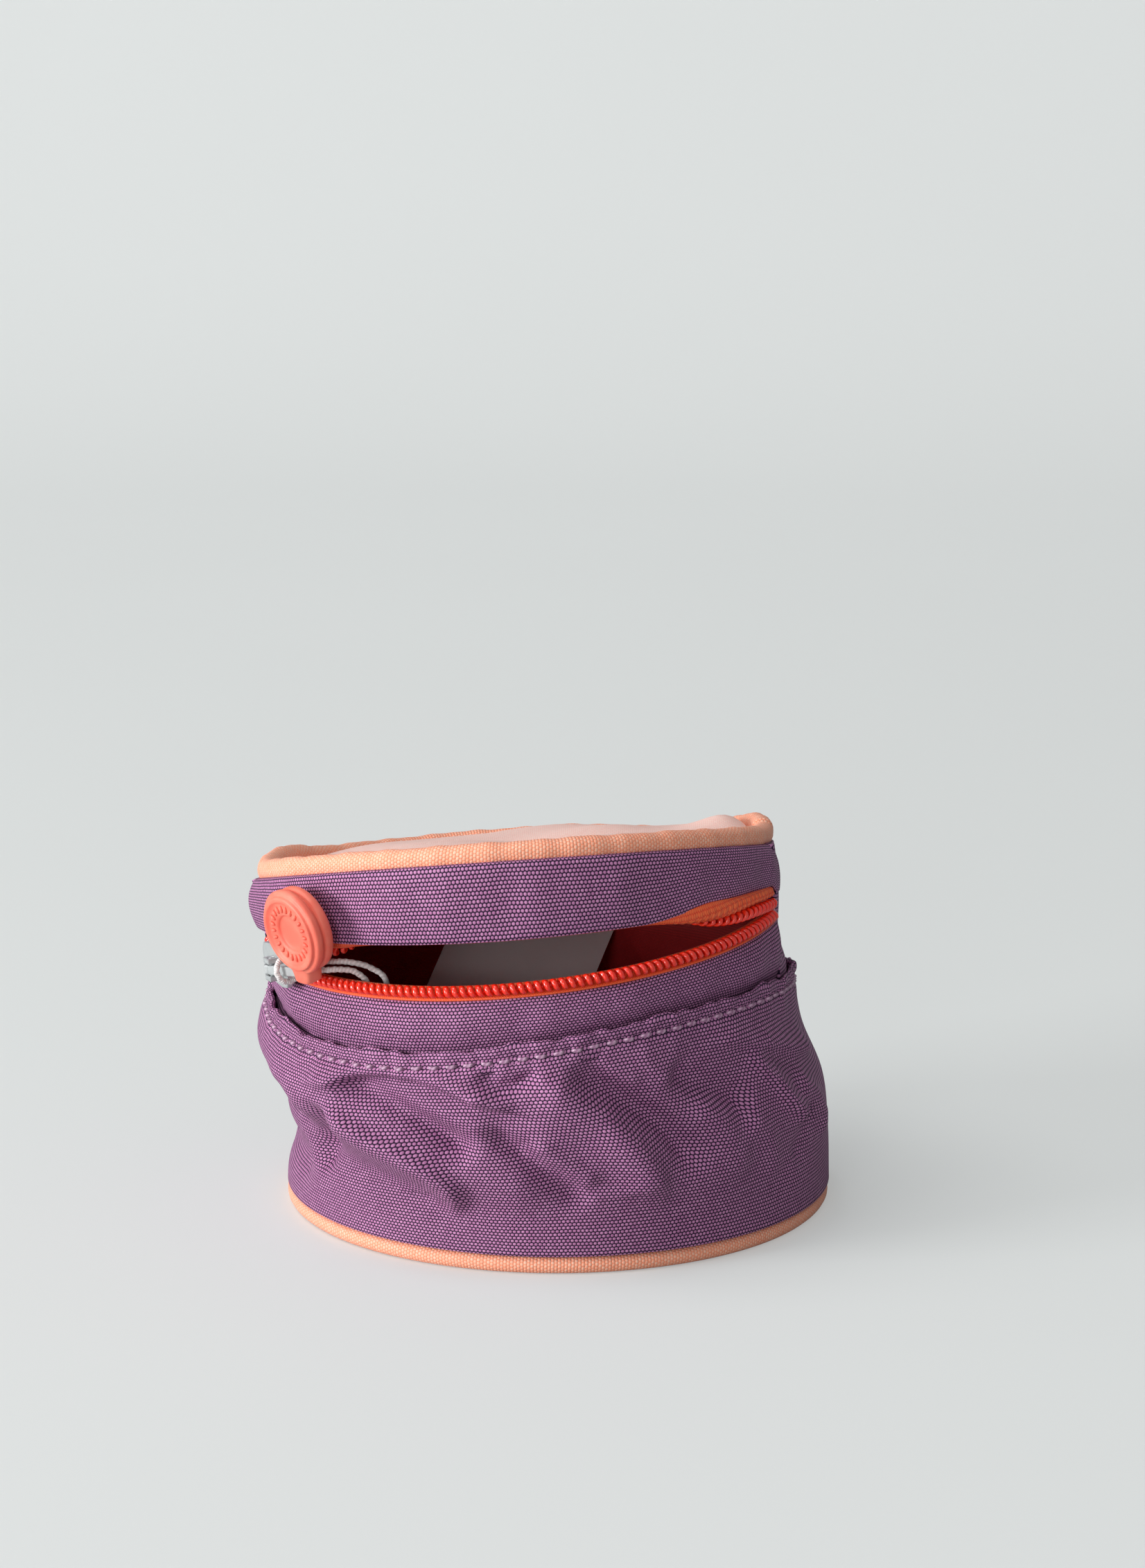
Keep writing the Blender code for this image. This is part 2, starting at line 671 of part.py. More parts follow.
def slider_body():
    """Two plates joined by the post that parts the chains, with lips that hold the tapes."""
    half = SLIDER_LENGTH / 2
    low = SLIDER_RISE - SLIDER_WIDTH / 2
    high = SLIDER_RISE + SLIDER_WIDTH / 2
    outer = slab("slider_body", plate_outline(), OUTER_FACE, PLATE_TOP)
    inner = slab("cut_inner", plate_outline(), -INNER_FACE - PLATE_THICKNESS, -INNER_FACE)
    post_foot = TOOTH_REACH + CLEARANCE
    post = block_outline(POST_SPAN[0] * half, POST_SPAN[1] * half, post_foot, post_foot + POST_WIDTH)
    post = slab("cut_post", post, -INNER_FACE - SINK, OUTER_FACE + SINK)
    lip_foot = OUTER_FACE - LIP_DEPTH
    lower_lip = block_outline(-LIP_START * half, LOWER_LIP_END * half, low + LIP_WIDTH / 4, low + LIP_WIDTH)
    lower_lip = slab("cut_lower_lip", lower_lip, lip_foot, OUTER_FACE + SINK)
    upper_low = high - 2 * LIP_WIDTH / 2 - UPPER_LIP_INSET
    upper_lip = block_outline(-LIP_START * half, -UPPER_LIP_END * half, upper_low, upper_low + LIP_WIDTH / 2)
    upper_lip = slab("cut_upper_lip", upper_lip, lip_foot, OUTER_FACE + SINK)
    lugs = []
    for side in (-1, 1):
        near = SLIDER_RISE + side * LUG_GAP
        far = near + side * LUG_WIDTH
        outline = block_outline(PIN_ALONG - LUG_REACH, PIN_ALONG + LUG_REACH, min(near, far), max(near, far))
        lugs.append(slab("cut_lug", outline, PLATE_TOP - SINK, PIN_OUT + PIN_RADIUS + LUG_COVER))
    bore = pin_tube("cut_bore", PIN_RADIUS + CLEARANCE, 2 * LUG_WIDTH)
    join_all(outer, [inner, post, lower_lip, upper_lip] + lugs)
    cut_out(outer, bore)
    pin_tube("pull_pin", PIN_RADIUS, 0.0)


def pin_tube(name, radius, extra):
    """A bar across the slider on the pull's axis."""
    half = LUG_GAP + LUG_WIDTH + extra
    turn = np.arange(PIN_STEPS) * 2 * math.pi / PIN_STEPS
    outline = [(radius * math.sin(a), radius * math.cos(a)) for a in turn]
    place, along, across, out = slider_frame()
    middle = place + PIN_ALONG * along + SLIDER_RISE * across + PIN_OUT * out
    return prism(name, (middle, out, along, across), outline[::-1], -half, half, "zinc")


# The pull

def grip_frame():
    """The grip's middle on the lifted band, and its ways sideways, up and out of its face."""
    angle = np.array([math.radians(GRIP_ANGLE)])
    centre = zip_point(angle, np.array([GRIP_UP]), np.array([GRIP_OUT]))[0]
    out = (math.cos(angle[0]) * np.array(ZIP_SIDE) + math.sin(angle[0]) * np.array(ZIP_BACK))
    normal = np.array(ZIP_NORMAL)
    lean = math.radians(GRIP_LEAN)
    up = normal * math.cos(lean) + out * math.sin(lean)
    face = out * math.cos(lean) - normal * math.sin(lean)
    return centre, np.cross(up, face), up, face


def link_frame():
    """From the pin towards the foot of the grip: along the stem, across it and outwards."""
    pin = in_frame(slider_frame(), [PIN_ALONG, SLIDER_RISE, PIN_OUT])[0]
    foot = in_frame(grip_frame(), [0.0, -NECK_LENGTH, 0.0])[0]
    across = np.array(ZIP_NORMAL)
    flat = (foot - pin) - across * ((foot - pin) @ across)
    along = flat / np.linalg.norm(flat)
    frame = (pin, along, across, np.cross(along, across))
    return frame, float(np.linalg.norm(flat)), float((foot - pin) @ across)


def pull_link():
    """A flat eye round the pin, with a cranked stem that the rubber grip is moulded on."""
    frame, length, crank = link_frame()
    inner = PIN_RADIUS + CLEARANCE
    outer = PIN_OUT - PLATE_TOP - CLEARANCE
    steps = LINK_STEPS
    turn = np.arange(steps) * 2 * math.pi / steps
    hole = np.stack([inner * np.cos(turn), inner * np.sin(turn)], axis=1)
    rim = np.stack([outer * np.cos(turn), outer * np.sin(turn)], axis=1)
    stem = (np.abs(rim[:, 1]) < 0.75 * outer) & (rim[:, 0] > 0)
    ahead = rim[:, 0] > 0
    rim[ahead, 1] = np.clip(rim[ahead, 1], -STEM_SHARE * outer, STEM_SHARE * outer)
    rim[stem, 0] = length + NECK_HOLD
    points = []
    for side in (-1, 1):
        for loop in (hole, rim):
            for x, z in loop:
                rise = crank if x > length else 0.0
                points.append((x, side * LINK_WIDTH / 2 + rise, z))
    return add_mesh("pull_link", in_frame(frame, points), washer_faces(steps), "zinc")


# Half of the grip's turned section: radius and height shares, from the back to the face
GRIP_SECTION = [
    (0.88, -0.5), (0.96, -0.4), (0.96, -0.1), (0.89, -0.05), (0.89, 0.03), (1.0, 0.08),
    (1.0, 0.3), (0.93, 0.36), (0.87, 0.36), (0.87, 0.47), (0.84, 0.5), (0.74, 0.5), (0.71, 0.44),
    (0.42, 0.44), (0.38, 0.36),
]


def pull_grip():
    """A stepped rubber disc on a short neck, leaning against the band above the zip."""
    steps = HALF_STEPS
    turn = np.arange(steps) * 2 * math.pi / steps
    points = []
    for radius, height in GRIP_SECTION:
        reach = radius * GRIP_RADIUS
        points += [(reach * math.cos(a), reach * math.sin(a), height * GRIP_THICKNESS) for a in turn]
    rows = len(GRIP_SECTION)
    faces = []
    for row in range(rows - 1):
        for k in range(steps):
            n = (k + 1) % steps
            faces.append((row * steps + k, row * steps + n, (row + 1) * steps + n, (row + 1) * steps + k))
    faces.append(tuple(reversed(range(steps))))
    faces.append(tuple((rows - 1) * steps + k for k in range(steps)))
    grip = add_mesh("pull_grip", in_frame(grip_frame(), points), faces, "rubber_coral")
    deep = LINK_WIDTH / 2 + NECK_COVER
    foot, root = -NECK_LENGTH - deep, -NECK_ROOT * GRIP_RADIUS
    neck = [(-NECK_HALF, foot), (NECK_HALF, foot), (2 * NECK_HALF, root), (-2 * NECK_HALF, root)]
    neck = prism("cut_neck", grip_frame(), neck, -deep, deep, "rubber_coral")
    frame, length, crank = link_frame()
    room = LINK_WIDTH / 2 + CLEARANCE
    low, high = length - 2 * NECK_HALF, length + NECK_HOLD + CLEARANCE
    dip = crank * (length - low) / length
    socket = [(low, crank - room - dip), (high, crank - room), (high, crank + room), (low, crank + room)]
    outer = PIN_OUT - PLATE_TOP
    socket = prism("cut_socket", frame, socket, -outer, outer, "rubber_coral")
    join_all(grip, [neck])
    cut_out(grip, socket)


# The tag

CARD_UP = Vector((0.35, 0.62, 0.70)).normalized()
CARD_SIDE = Vector((0.894, 0.0, -0.447)).normalized()


def card_frame():
    """The middle of the card's hole, and the card's ways sideways, up and out of its front."""
    up = np.array(CARD_UP)
    side = np.array(CARD_SIDE)
    side = side - up * (side @ up)
    side = side / np.linalg.norm(side)
    return np.array(CARD_FOOT) + CARD_HOLE_UP * up, side, up, np.cross(side, up)


def tag_card():
    """A plain card that stands on the floor of the pouch and leans on the back wall."""
    low, high, wide = -CARD_HOLE_UP, CARD_LENGTH - CARD_HOLE_UP, CARD_WIDTH / 2
    corners = [(wide, high), (-wide, high), (-wide, low), (wide, low)]
    turn = np.arange(LINK_STEPS) * 2 * math.pi / LINK_STEPS
    ways = [(math.cos(a), math.sin(a)) for a in turn]
    rim = []
    for x, y in ways:
        tall = high if y > 0 else -low
        scale = 1 / max(abs(x) / wide, abs(y) / tall)
        rim.append((scale * x, scale * y))
    for corner in corners:
        nearest = min(range(len(rim)), key=lambda k: math.dist(rim[k], corner))
        rim[nearest] = corner
    hole = [(CARD_HOLE_RADIUS * x, CARD_HOLE_RADIUS * y) for x, y in ways]
    half = CARD_THICKNESS / 2
    points = [(x, y, out) for out in (half, -half) for loop in (hole, rim) for x, y in loop]
    add_mesh("tag_card", in_frame(card_frame(), points), washer_faces(LINK_STEPS), "card")


def washer_faces(steps):
    """Faces of a plate with a hole: rings of the hole and the rim, first on its upper side."""
    faces = []
    for k in range(steps):
        n = (k + 1) % steps
        faces.append((k, k + steps, n + steps, n))
        faces.append((k + 2 * steps, n + 2 * steps, n + 3 * steps, k + 3 * steps))
        faces.append((k + steps, k + 3 * steps, n + 3 * steps, n + steps))
        faces.append((k, n, n + 2 * steps, k + 2 * steps))
    return faces


# The string's route by hand, one unbroken cord. Card points are along the card's side, up and
# front; inside points are plain places; rim points are an angle on the zip, the way up and the
# way outwards; stem points are along the pull's stem, across it and outwards. All in millimetres.
CARD_IN = [(-0.7, 0.0, -0.7), (-0.7, 0.0, 0.6), (-0.8, -0.4, 2.4)]
INSIDE_IN = [
    (-18.8, 4.0, 9.6), (-20.2, -1.5, 5.3), (-23.6, -9.0, 4.7), (-28.2, -16.0, 5.6),
    (-31.0, -20.6, 14.0), (-32.6, -25.0, 28.0), (-32.8, -28.6, 39.0),
]
RIM_IN = [(229.5, -2.4, -4.2), (228.0, 0.6, -2.7), (225.0, 1.3, -1.1), (222.0, 1.2, 0.1), (219.0, 1.2, 0.9)]
STEM_LOOP = [
    (6.0, -0.4, -2.1), (5.6, -1.6, -1.5), (5.3, -2.1, 0.0), (5.1, -1.5, 1.5), (4.9, 0.0, 2.1),
    (4.7, 1.5, 1.5), (4.6, 2.1, 0.0), (4.9, 1.8, -1.5),
]
RIM_OUT = [
    (216.8, 2.15, 1.5), (219.5, 2.3, 0.0), (222.5, 2.4, -1.3), (226.0, 2.2, -2.9), (230.0, 1.0, -4.8),
    (233.0, -1.8, -6.0),
]
INSIDE_OUT = [
    (-29.6, -28.6, 38.0), (-29.6, -25.0, 27.0), (-28.4, -21.0, 14.0), (-26.2, -17.0, 6.4),
    (-22.4, -10.4, 4.7), (-18.4, -3.0, 5.0), (-16.6, 3.4, 9.6),
]
CARD_OUT = [(0.8, -0.4, 2.4), (0.7, 0.0, 0.6), (0.7, 0.0, -0.7)]


def string_route():
    """The hand-chosen places of the string, as points in space."""
    frame, length, crank = link_frame()
    card = card_frame()
    stem = [(s * MM, a * MM + crank * s * MM / length, out * MM) for s, a, out in STEM_LOOP]
    parts = [in_frame(card, np.array(CARD_IN) * MM), np.array(INSIDE_IN) * MM, rim_places(RIM_IN)]
    parts += [in_frame(frame, stem), rim_places(RIM_OUT), np.array(INSIDE_OUT) * MM]
    parts += [in_frame(card, np.array(CARD_OUT) * MM)]
    return np.vstack(parts)


def rim_places(places):
    angle = np.radians([place[0] for place in places])
    across = np.array([place[1] for place in places]) * MM
    return zip_point(angle, across, np.array([place[2] for place in places]) * MM)


def tag_string():
    """Two strands of one cord, from the card up over the lower chain and round the pull."""
    tube("tag_string", smooth_curve(string_route(), 2), STRING_RADIUS, "cotton")


def tag_knot():
    """The knot that keeps the string's ends behind the card, as a plain bead."""
    hole, side, up, front = card_frame()
    middle = hole - (KNOT_RADIUS + 3 * CLEARANCE + CARD_THICKNESS / 2) * front
    rows = 4
    around = 8
    points = [(0.0, 0.0, -KNOT_RADIUS)]
    for row in range(1, rows):
        tilt = math.pi * row / rows
        ring = KNOT_RADIUS * math.sin(tilt)
        for k in range(around):
            turn = 2 * math.pi * k / around
            points.append((ring * math.cos(turn), ring * math.sin(turn), -KNOT_RADIUS * math.cos(tilt)))
    points.append((0.0, 0.0, KNOT_RADIUS))
    last = len(points) - 1
    faces = []
    for k in range(around):
        n = (k + 1) % around
        faces.append((0, 1 + n, 1 + k))
        for row in range(rows - 2):
            low, high = 1 + row * around, 1 + (row + 1) * around
            faces.append((low + k, low + n, high + n, high + k))
        top = 1 + (rows - 2) * around
        faces.append((top + k, top + n, last))
    add_mesh("tag_knot", in_frame((middle, side, up, front), points), faces, "cotton")


def carry(name, place, pieces):
    """An empty on a joint's axis that carries the pieces that turn about it."""
    empty = bpy.data.objects.new(name, None)
    empty.location = place
    bpy.context.collection.objects.link(empty)
    for piece in pieces:
        item = bpy.data.objects[piece]
        item.parent = empty
        item.matrix_parent_inverse = Matrix.Translation(Vector(place)).inverted()


def build():
    clear_scene()
    base()
    body_wall()
    lining_wall()
    lower_zip_band()
    lower_zip_tape()
    back_panel()
    zip_chain()
    upper_band()
    upper_zip_tape()
    lid_half(True)
    lid_half(False)
    slider_body()
    pull_link()
    pull_grip()
    tag_card()
    tag_string()
    tag_knot()
    lid = ["upper_band", "upper_zip_tape", "upper_coil"]
    lid += ["lid_panel_front", "lid_piping_front", "lid_lining_front"]
    carry("lid_hinge", hinge_point(), lid)
    carry("zip_axis", tuple(ZIP_CENTRE), ["slider_body", "pull_pin"])
    pin = in_frame(slider_frame(), [PIN_ALONG, SLIDER_RISE, PIN_OUT])[0]
    carry("pull_axis", pin, ["pull_link", "pull_grip"])


build()
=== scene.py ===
# Small round zip pouch: cloth, zip, lid, rubber pull and tag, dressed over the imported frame.
# Lengths are metres. Angles run from +X towards +Y, so the front of the pouch is at 270 degrees.
import math
import bmesh
import bpy
import numpy as np
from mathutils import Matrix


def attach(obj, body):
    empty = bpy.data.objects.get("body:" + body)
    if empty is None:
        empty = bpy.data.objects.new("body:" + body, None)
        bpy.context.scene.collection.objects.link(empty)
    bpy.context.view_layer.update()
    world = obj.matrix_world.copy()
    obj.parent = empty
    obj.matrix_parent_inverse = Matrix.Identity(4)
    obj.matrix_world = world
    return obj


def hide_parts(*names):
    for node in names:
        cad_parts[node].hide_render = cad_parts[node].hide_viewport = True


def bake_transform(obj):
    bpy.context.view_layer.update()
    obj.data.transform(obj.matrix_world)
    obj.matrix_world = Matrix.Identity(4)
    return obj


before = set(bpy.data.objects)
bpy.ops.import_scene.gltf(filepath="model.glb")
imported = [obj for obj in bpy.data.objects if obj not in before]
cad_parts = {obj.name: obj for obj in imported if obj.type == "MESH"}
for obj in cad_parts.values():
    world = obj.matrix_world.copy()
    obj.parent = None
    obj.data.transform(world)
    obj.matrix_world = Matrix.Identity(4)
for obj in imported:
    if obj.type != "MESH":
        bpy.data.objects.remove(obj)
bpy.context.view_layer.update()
mm = 0.001
fullTurn = 2 * math.pi
upright = np.array([0.0, 0.0, 1.0])

# the same named sizes as the solids have
pouch = {"baseRadius": 48.5 * mm, "pipingRadius": 1.5 * mm, "foldHeight": 39.65 * mm, "foldRise": 1.75 * mm,
         "foldTwist": 2.7 * mm, "bottom": 3.3 * mm, "cloth": 0.9 * mm, "gap": 0.3 * mm,
         "centres": [0.1 * mm, -0.1 * mm, -1.5 * mm, -5.25 * mm, -4.7 * mm],
         "swell": [0.1 * mm, 0.0, 0.3 * mm, 0.25 * mm, -1.9 * mm]}
wallHeight = pouch["foldHeight"] - pouch["bottom"]
wallInside = pouch["cloth"] + pouch["gap"]
zipLine = {"centre": np.array([-5.5, 0.0, 51.75]) * mm, "radius": 45.8 * mm, "start": 188.0, "end": 341.0,
           "pitch": 1.41 * mm, "thickness": 2.2 * mm, "bandEdge": 2.7 * mm, "bandFace": 0.3 * mm,
           "slider": 206.0, "sliderLength": 10.4 * mm}
lid = {"centre": -7.5 * mm, "radius": 46.7 * mm, "height": 61.7 * mm, "rise": 0.10, "tilt": 0.224,
       "drop": 0.155, "lift": 7.2, "seamLeft": 180.5, "seamRight": 344.0, "pipingRadius": 1.8 * mm,
       "pipingInset": 1.2 * mm, "pipingHeight": 1.6 * mm, "puff": 2.6 * mm}


# small helpers

def unit(way):
    # each way, on the last axis, over its own length
    way = np.asarray(way, float)
    return way / np.linalg.norm(way, axis=-1, keepdims=True)


def acrossOf(way, along):
    # the part of a way that lies across another, made one long
    return unit(way - along * np.sum(way * along, axis=-1, keepdims=True))


def ease(value):
    # smooth step: three squares less two cubes
    value = np.clip(value, 0, 1)
    return value * value * (3 - 2 * value)


def risen(degrees, look):
    # from none to all over the rise past the start, and back to none over the fall before the end
    rise = ease((degrees - look["start"]) / look["rise"])
    return rise * ease((look["end"] - degrees) / look["fall"])


def bell(offset, width):
    # e to minus the square of the offset over the width: one at the middle, next to nothing far off
    return np.exp(-(offset / width) ** 2)


def stack(x, y, z):
    return np.stack(np.broadcast_arrays(x, y, z), axis=-1).astype(float)


def outward(angle):
    return stack(np.cos(angle), np.sin(angle), 0)


def turns(count):
    # evenly spaced angles, once round
    return np.linspace(0, fullTurn, count, endpoint=False)


def arcOf(start, end, steps):
    return np.radians(np.linspace(start, end, steps + 1))


def squared(part, power):
    # the reach of a squarish ring: cosine and sine to the power, added, and the root of that turned over
    return (np.abs(np.cos(part)) ** power + np.abs(np.sin(part)) ** power) ** (-1 / power)


def cubic(a, b, c, d, t):
    # the Catmull-Rom cubic between b and c
    curve = 2 * b + (c - a) * t + (2 * a - 5 * b + 4 * c - d) * t * t + (3 * b - a - 3 * c + d) * t ** 3
    return 0.5 * curve


def withEnds(values):
    # one more at each end, as far beyond it as its neighbour is within
    values = np.asarray(values, float)
    return np.concatenate([[2 * values[0] - values[1]], values, [2 * values[-1] - values[-2]]])


def between(values, share):
    # smooth value at a share along evenly spaced values
    padded = withEnds(values)
    place = np.clip(share, 0, 1) * (len(values) - 1)
    index = np.minimum(place.astype(int), len(values) - 2)
    return cubic(*(padded[index + k] for k in range(4)), place - index)


def smoothCurve(points, steps):
    # points on the smooth curve through the given ones, with steps to each span
    given = withEnds(points)
    t = (np.arange(steps) / steps)[None, :, None]
    found = cubic(*(given[k:len(given) - 3 + k, None, :] for k in range(4)), t)
    return np.vstack([found.reshape(-1, given.shape[1]), given[-2:-1]])


def runLength(line):
    # the way along a line of points, from nothing at the first
    return np.concatenate([[0.0], np.cumsum(np.linalg.norm(np.diff(line, axis=0), axis=1))])


def ripple(place, waves):
    # a sum of sines: each wave is turns for each unit, phase and size
    return sum(size * np.sin(fullTurn * count * place + phase) for count, phase, size in waves)


def gridCorners(rows, columns, wrapRows, wrapColumns):
    r = np.arange(rows if wrapRows else rows - 1)[:, None]
    c = np.arange(columns if wrapColumns else columns - 1)[None, :]
    return r, c


def gridFaces(rows, columns, wrapRows, wrapColumns):
    # four-cornered faces between neighbours of a grid, counted row by row
    r, c = gridCorners(rows, columns, wrapRows, wrapColumns)
    rn, cn = (r + 1) % rows, (c + 1) % columns
    corners = [r * columns + c, r * columns + cn, rn * columns + cn, rn * columns + c]
    return np.stack(corners, axis=-1).reshape(-1, 4)


def gridPlaces(rows, columns, wrapRows, wrapColumns, long, high):
    # pattern places in metres for the corners of each face, from the sheet's length and its rows' heights
    r, c = gridCorners(rows, columns, wrapRows, wrapColumns)
    corners = []
    for dr, dc in ((0, 0), (0, 1), (1, 1), (1, 0)):
        u = (c + dc + 0 * r) * long / c.size
        v = np.asarray(high)[r + dr + 0 * c]
        corners.append(np.stack([u, v], axis=-1))
    return np.stack(corners, axis=2).reshape(-1, 2)


def makeMesh(name, points, faces, places=None, sharp=None):
    # one object from points, the corners of each face, and the pattern place of every corner
    mesh = bpy.data.meshes.new(name)
    mesh.from_pydata(np.asarray(points, float).reshape(-1, 3).tolist(), [], faces)
    if places is not None:
        layer = mesh.uv_layers.new(name="clothPlace")
        layer.data.foreach_set("uv", np.asarray(places, np.float32).reshape(-1))
    mesh.update()
    mesh.shade_smooth()
    if sharp:
        mesh.set_sharp_from_angle(angle=math.radians(sharp))
    piece = bpy.data.objects.new(name, mesh)
    bpy.context.scene.collection.objects.link(piece)
    return piece


def clothSheet(name, rows, high, wrapped, thickness, long=None):
    # a sheet through rows of points, the lowest first; its cloth lies behind the outer face
    rows = np.asarray(rows)
    count, around = rows.shape[:2]
    if long is None:
        long = runLength(rows[count // 2])[-1] * (around / (around - 1) if wrapped else 1)
    faces = gridFaces(count, around, False, wrapped).tolist()
    piece = makeMesh(name, rows, faces, gridPlaces(count, around, False, wrapped, long, high))
    solid = piece.modifiers.new("clothThickness", "SOLIDIFY")
    solid.thickness = thickness
    solid.offset = -1.0
    return piece


def ringed(line, first, second, wide, tall):
    # rings round a line: from each point, wide along its first way and tall along its second
    return line[..., None, :] + wide[..., None] * first[..., None, :] + tall[..., None] * second[..., None, :]


def sweptPiece(name, points, closed, long, girth):
    # a ring carried along a path: path steps by ring steps, or that once for each of several copies;
    # a path that isn't closed gets a flat face at each end
    points = np.asarray(points)
    points = points.reshape((-1,) + points.shape[-3:])
    copies, steps, around = points.shape[:3]
    quads = gridFaces(steps, around, closed, True)
    places = gridPlaces(steps, around, closed, True, girth, np.linspace(0, long, steps + int(closed)))
    one = points[0].reshape(-1, 3)
    a, b, c, d = (one[quads[:, k]] - one.mean(axis=0) for k in range(4))
    insideOut = np.einsum("ij,ij->", a, np.cross(b, c) + np.cross(c, d)) < 0
    first = (np.arange(copies) * steps * around)[:, None]
    faces = (quads + first[:, :, None]).reshape(-1, 4)
    places = np.tile(places, (copies, 1))
    if insideOut:
        faces = faces[:, ::-1]
        places = places.reshape(-1, 4, 2)[:, ::-1].reshape(-1, 2)
    faces = faces.tolist()
    if not closed:
        ring = np.arange(around)
        caps = np.stack([ring[::-1] + first, ring + first + (steps - 1) * around], axis=1)
        faces += (caps[:, :, ::-1] if insideOut else caps).reshape(-1, around).tolist()
        places = np.vstack([places, np.zeros((caps.size, 2))])
    return makeMesh(name, points, faces, places)


def closedDisc(name, points, sharp=None):
    # rings from the middle out on top, then back underneath, closed at both middles, with a flat pattern
    faces = gridFaces(len(points), points.shape[1], False, True)[:, ::-1]
    flat = points.reshape(-1, 3)
    ring = np.arange(points.shape[1])
    ends = [ring, (ring + len(flat) - len(ring))[::-1]]
    places = flat[np.concatenate([faces.reshape(-1)] + ends)][:, :2]
    return makeMesh(name, flat, faces.tolist() + [end.tolist() for end in ends], places, sharp)


def carriedWays(path):
    # ways across a path that turn as little as they can: each is the last one less its part along the path
    tangent = unit(np.gradient(path, axis=0))
    way = np.cross(tangent[0], upright)
    if np.linalg.norm(way) < 0.1:
        way = np.cross(tangent[0], [1.0, 0.0, 0.0])
    ways = []
    for step in tangent:
        way = acrossOf(way, step)
        ways.append(way)
    first = np.array(ways)
    return first, np.cross(tangent, first)


def joinInto(main, others):
    # one object from several
    work = bmesh.new()
    for piece in [main] + others:
        work.from_mesh(piece.data)
    work.to_mesh(main.data)
    work.free()
    for piece in others:
        bpy.data.objects.remove(piece, do_unlink=True)
    return main


# the camera, at the height and distance the picture was taken from

print("camera")
view = {"lens": 95.0, "sensor": 36.0, "near": 0.01, "place": (0.00262, -0.71454, 0.22641), "tilt": 78.0}
cameraData = bpy.data.cameras.new("camera")
cameraData.lens = view["lens"]
cameraData.sensor_width = view["sensor"]
cameraData.clip_start = view["near"]
camera = bpy.data.objects.new("camera", cameraData)
camera.location = view["place"]
camera.rotation_euler = (math.radians(view["tilt"]), 0.0, 0.0)
bpy.context.scene.collection.objects.link(camera)
bpy.context.scene.camera = camera
bpy.context.scene.view_settings.view_transform = "Standard"


# shader nodes

def newGroup(name, inputs, outputs):
    group = bpy.data.node_groups.new(name, "ShaderNodeTree")
    for label, value in inputs.items():
        kind = "NodeSocketVector" if value is None else "NodeSocketFloat"
        socket = group.interface.new_socket(name=label, in_out="INPUT", socket_type=kind)
        if value is not None:
            socket.default_value = value
    for label in outputs:
        group.interface.new_socket(name=label, in_out="OUTPUT", socket_type="NodeSocketFloat")
    return group, group.nodes.new("NodeGroupInput").outputs, group.nodes.new("NodeGroupOutput").inputs


def feed(tree, socket, value):
    if isinstance(value, bpy.types.NodeSocket):
        tree.links.new(value, socket)
    else:
        socket.default_value = value


def feedAll(tree, sockets, values):
    for socket, value in zip(sockets, values):
        feed(tree, socket, value)


def calc(tree, operation, *values):
    node = tree.nodes.new("ShaderNodeMath")
    node.operation = operation
    feedAll(tree, node.inputs, values)
    return node.outputs[0]


def fade(tree, value, low, high, first=0.0, last=1.0):
    node = tree.nodes.new("ShaderNodeMapRange")
    node.interpolation_type = "SMOOTHSTEP"
    feedAll(tree, node.inputs, (value, low, high, first, last))
    return node.outputs[0]


def blendColour(tree, factor, first, second):
    node = tree.nodes.new("ShaderNodeMix")
    node.data_type = "RGBA"
    feedAll(tree, (node.inputs[0], node.inputs[6], node.inputs[7]), (factor, first, second))
    return node.outputs[2]


def cloudy(tree, vector, scale, detail=2.0):
    node = tree.nodes.new("ShaderNodeTexNoise")
    feed(tree, node.inputs["Vector"], vector)
    feed(tree, node.inputs["Scale"], scale)
    node.inputs["Detail"].default_value = detail
    return node.outputs["Fac"]


def joined(tree, x, y):
    node = tree.nodes.new("ShaderNodeCombineXYZ")
    feedAll(tree, node.inputs, (x, y))
    return node.outputs[0]


def split(tree, vector):
    node = tree.nodes.new("ShaderNodeSeparateXYZ")
    feed(tree, node.inputs[0], vector)
    return node.outputs


# shader node groups that several finishes share

weaveShape = {"wanderScale": 160.0, "driftScale": 60.0, "drift": 0.0004, "halfWide": 0.47, "halfTall": 0.50,
              "sideFall": 2.4, "endFall": 2.0, "foot": 1.15, "crest": 0.25, "deepest": 1.3}


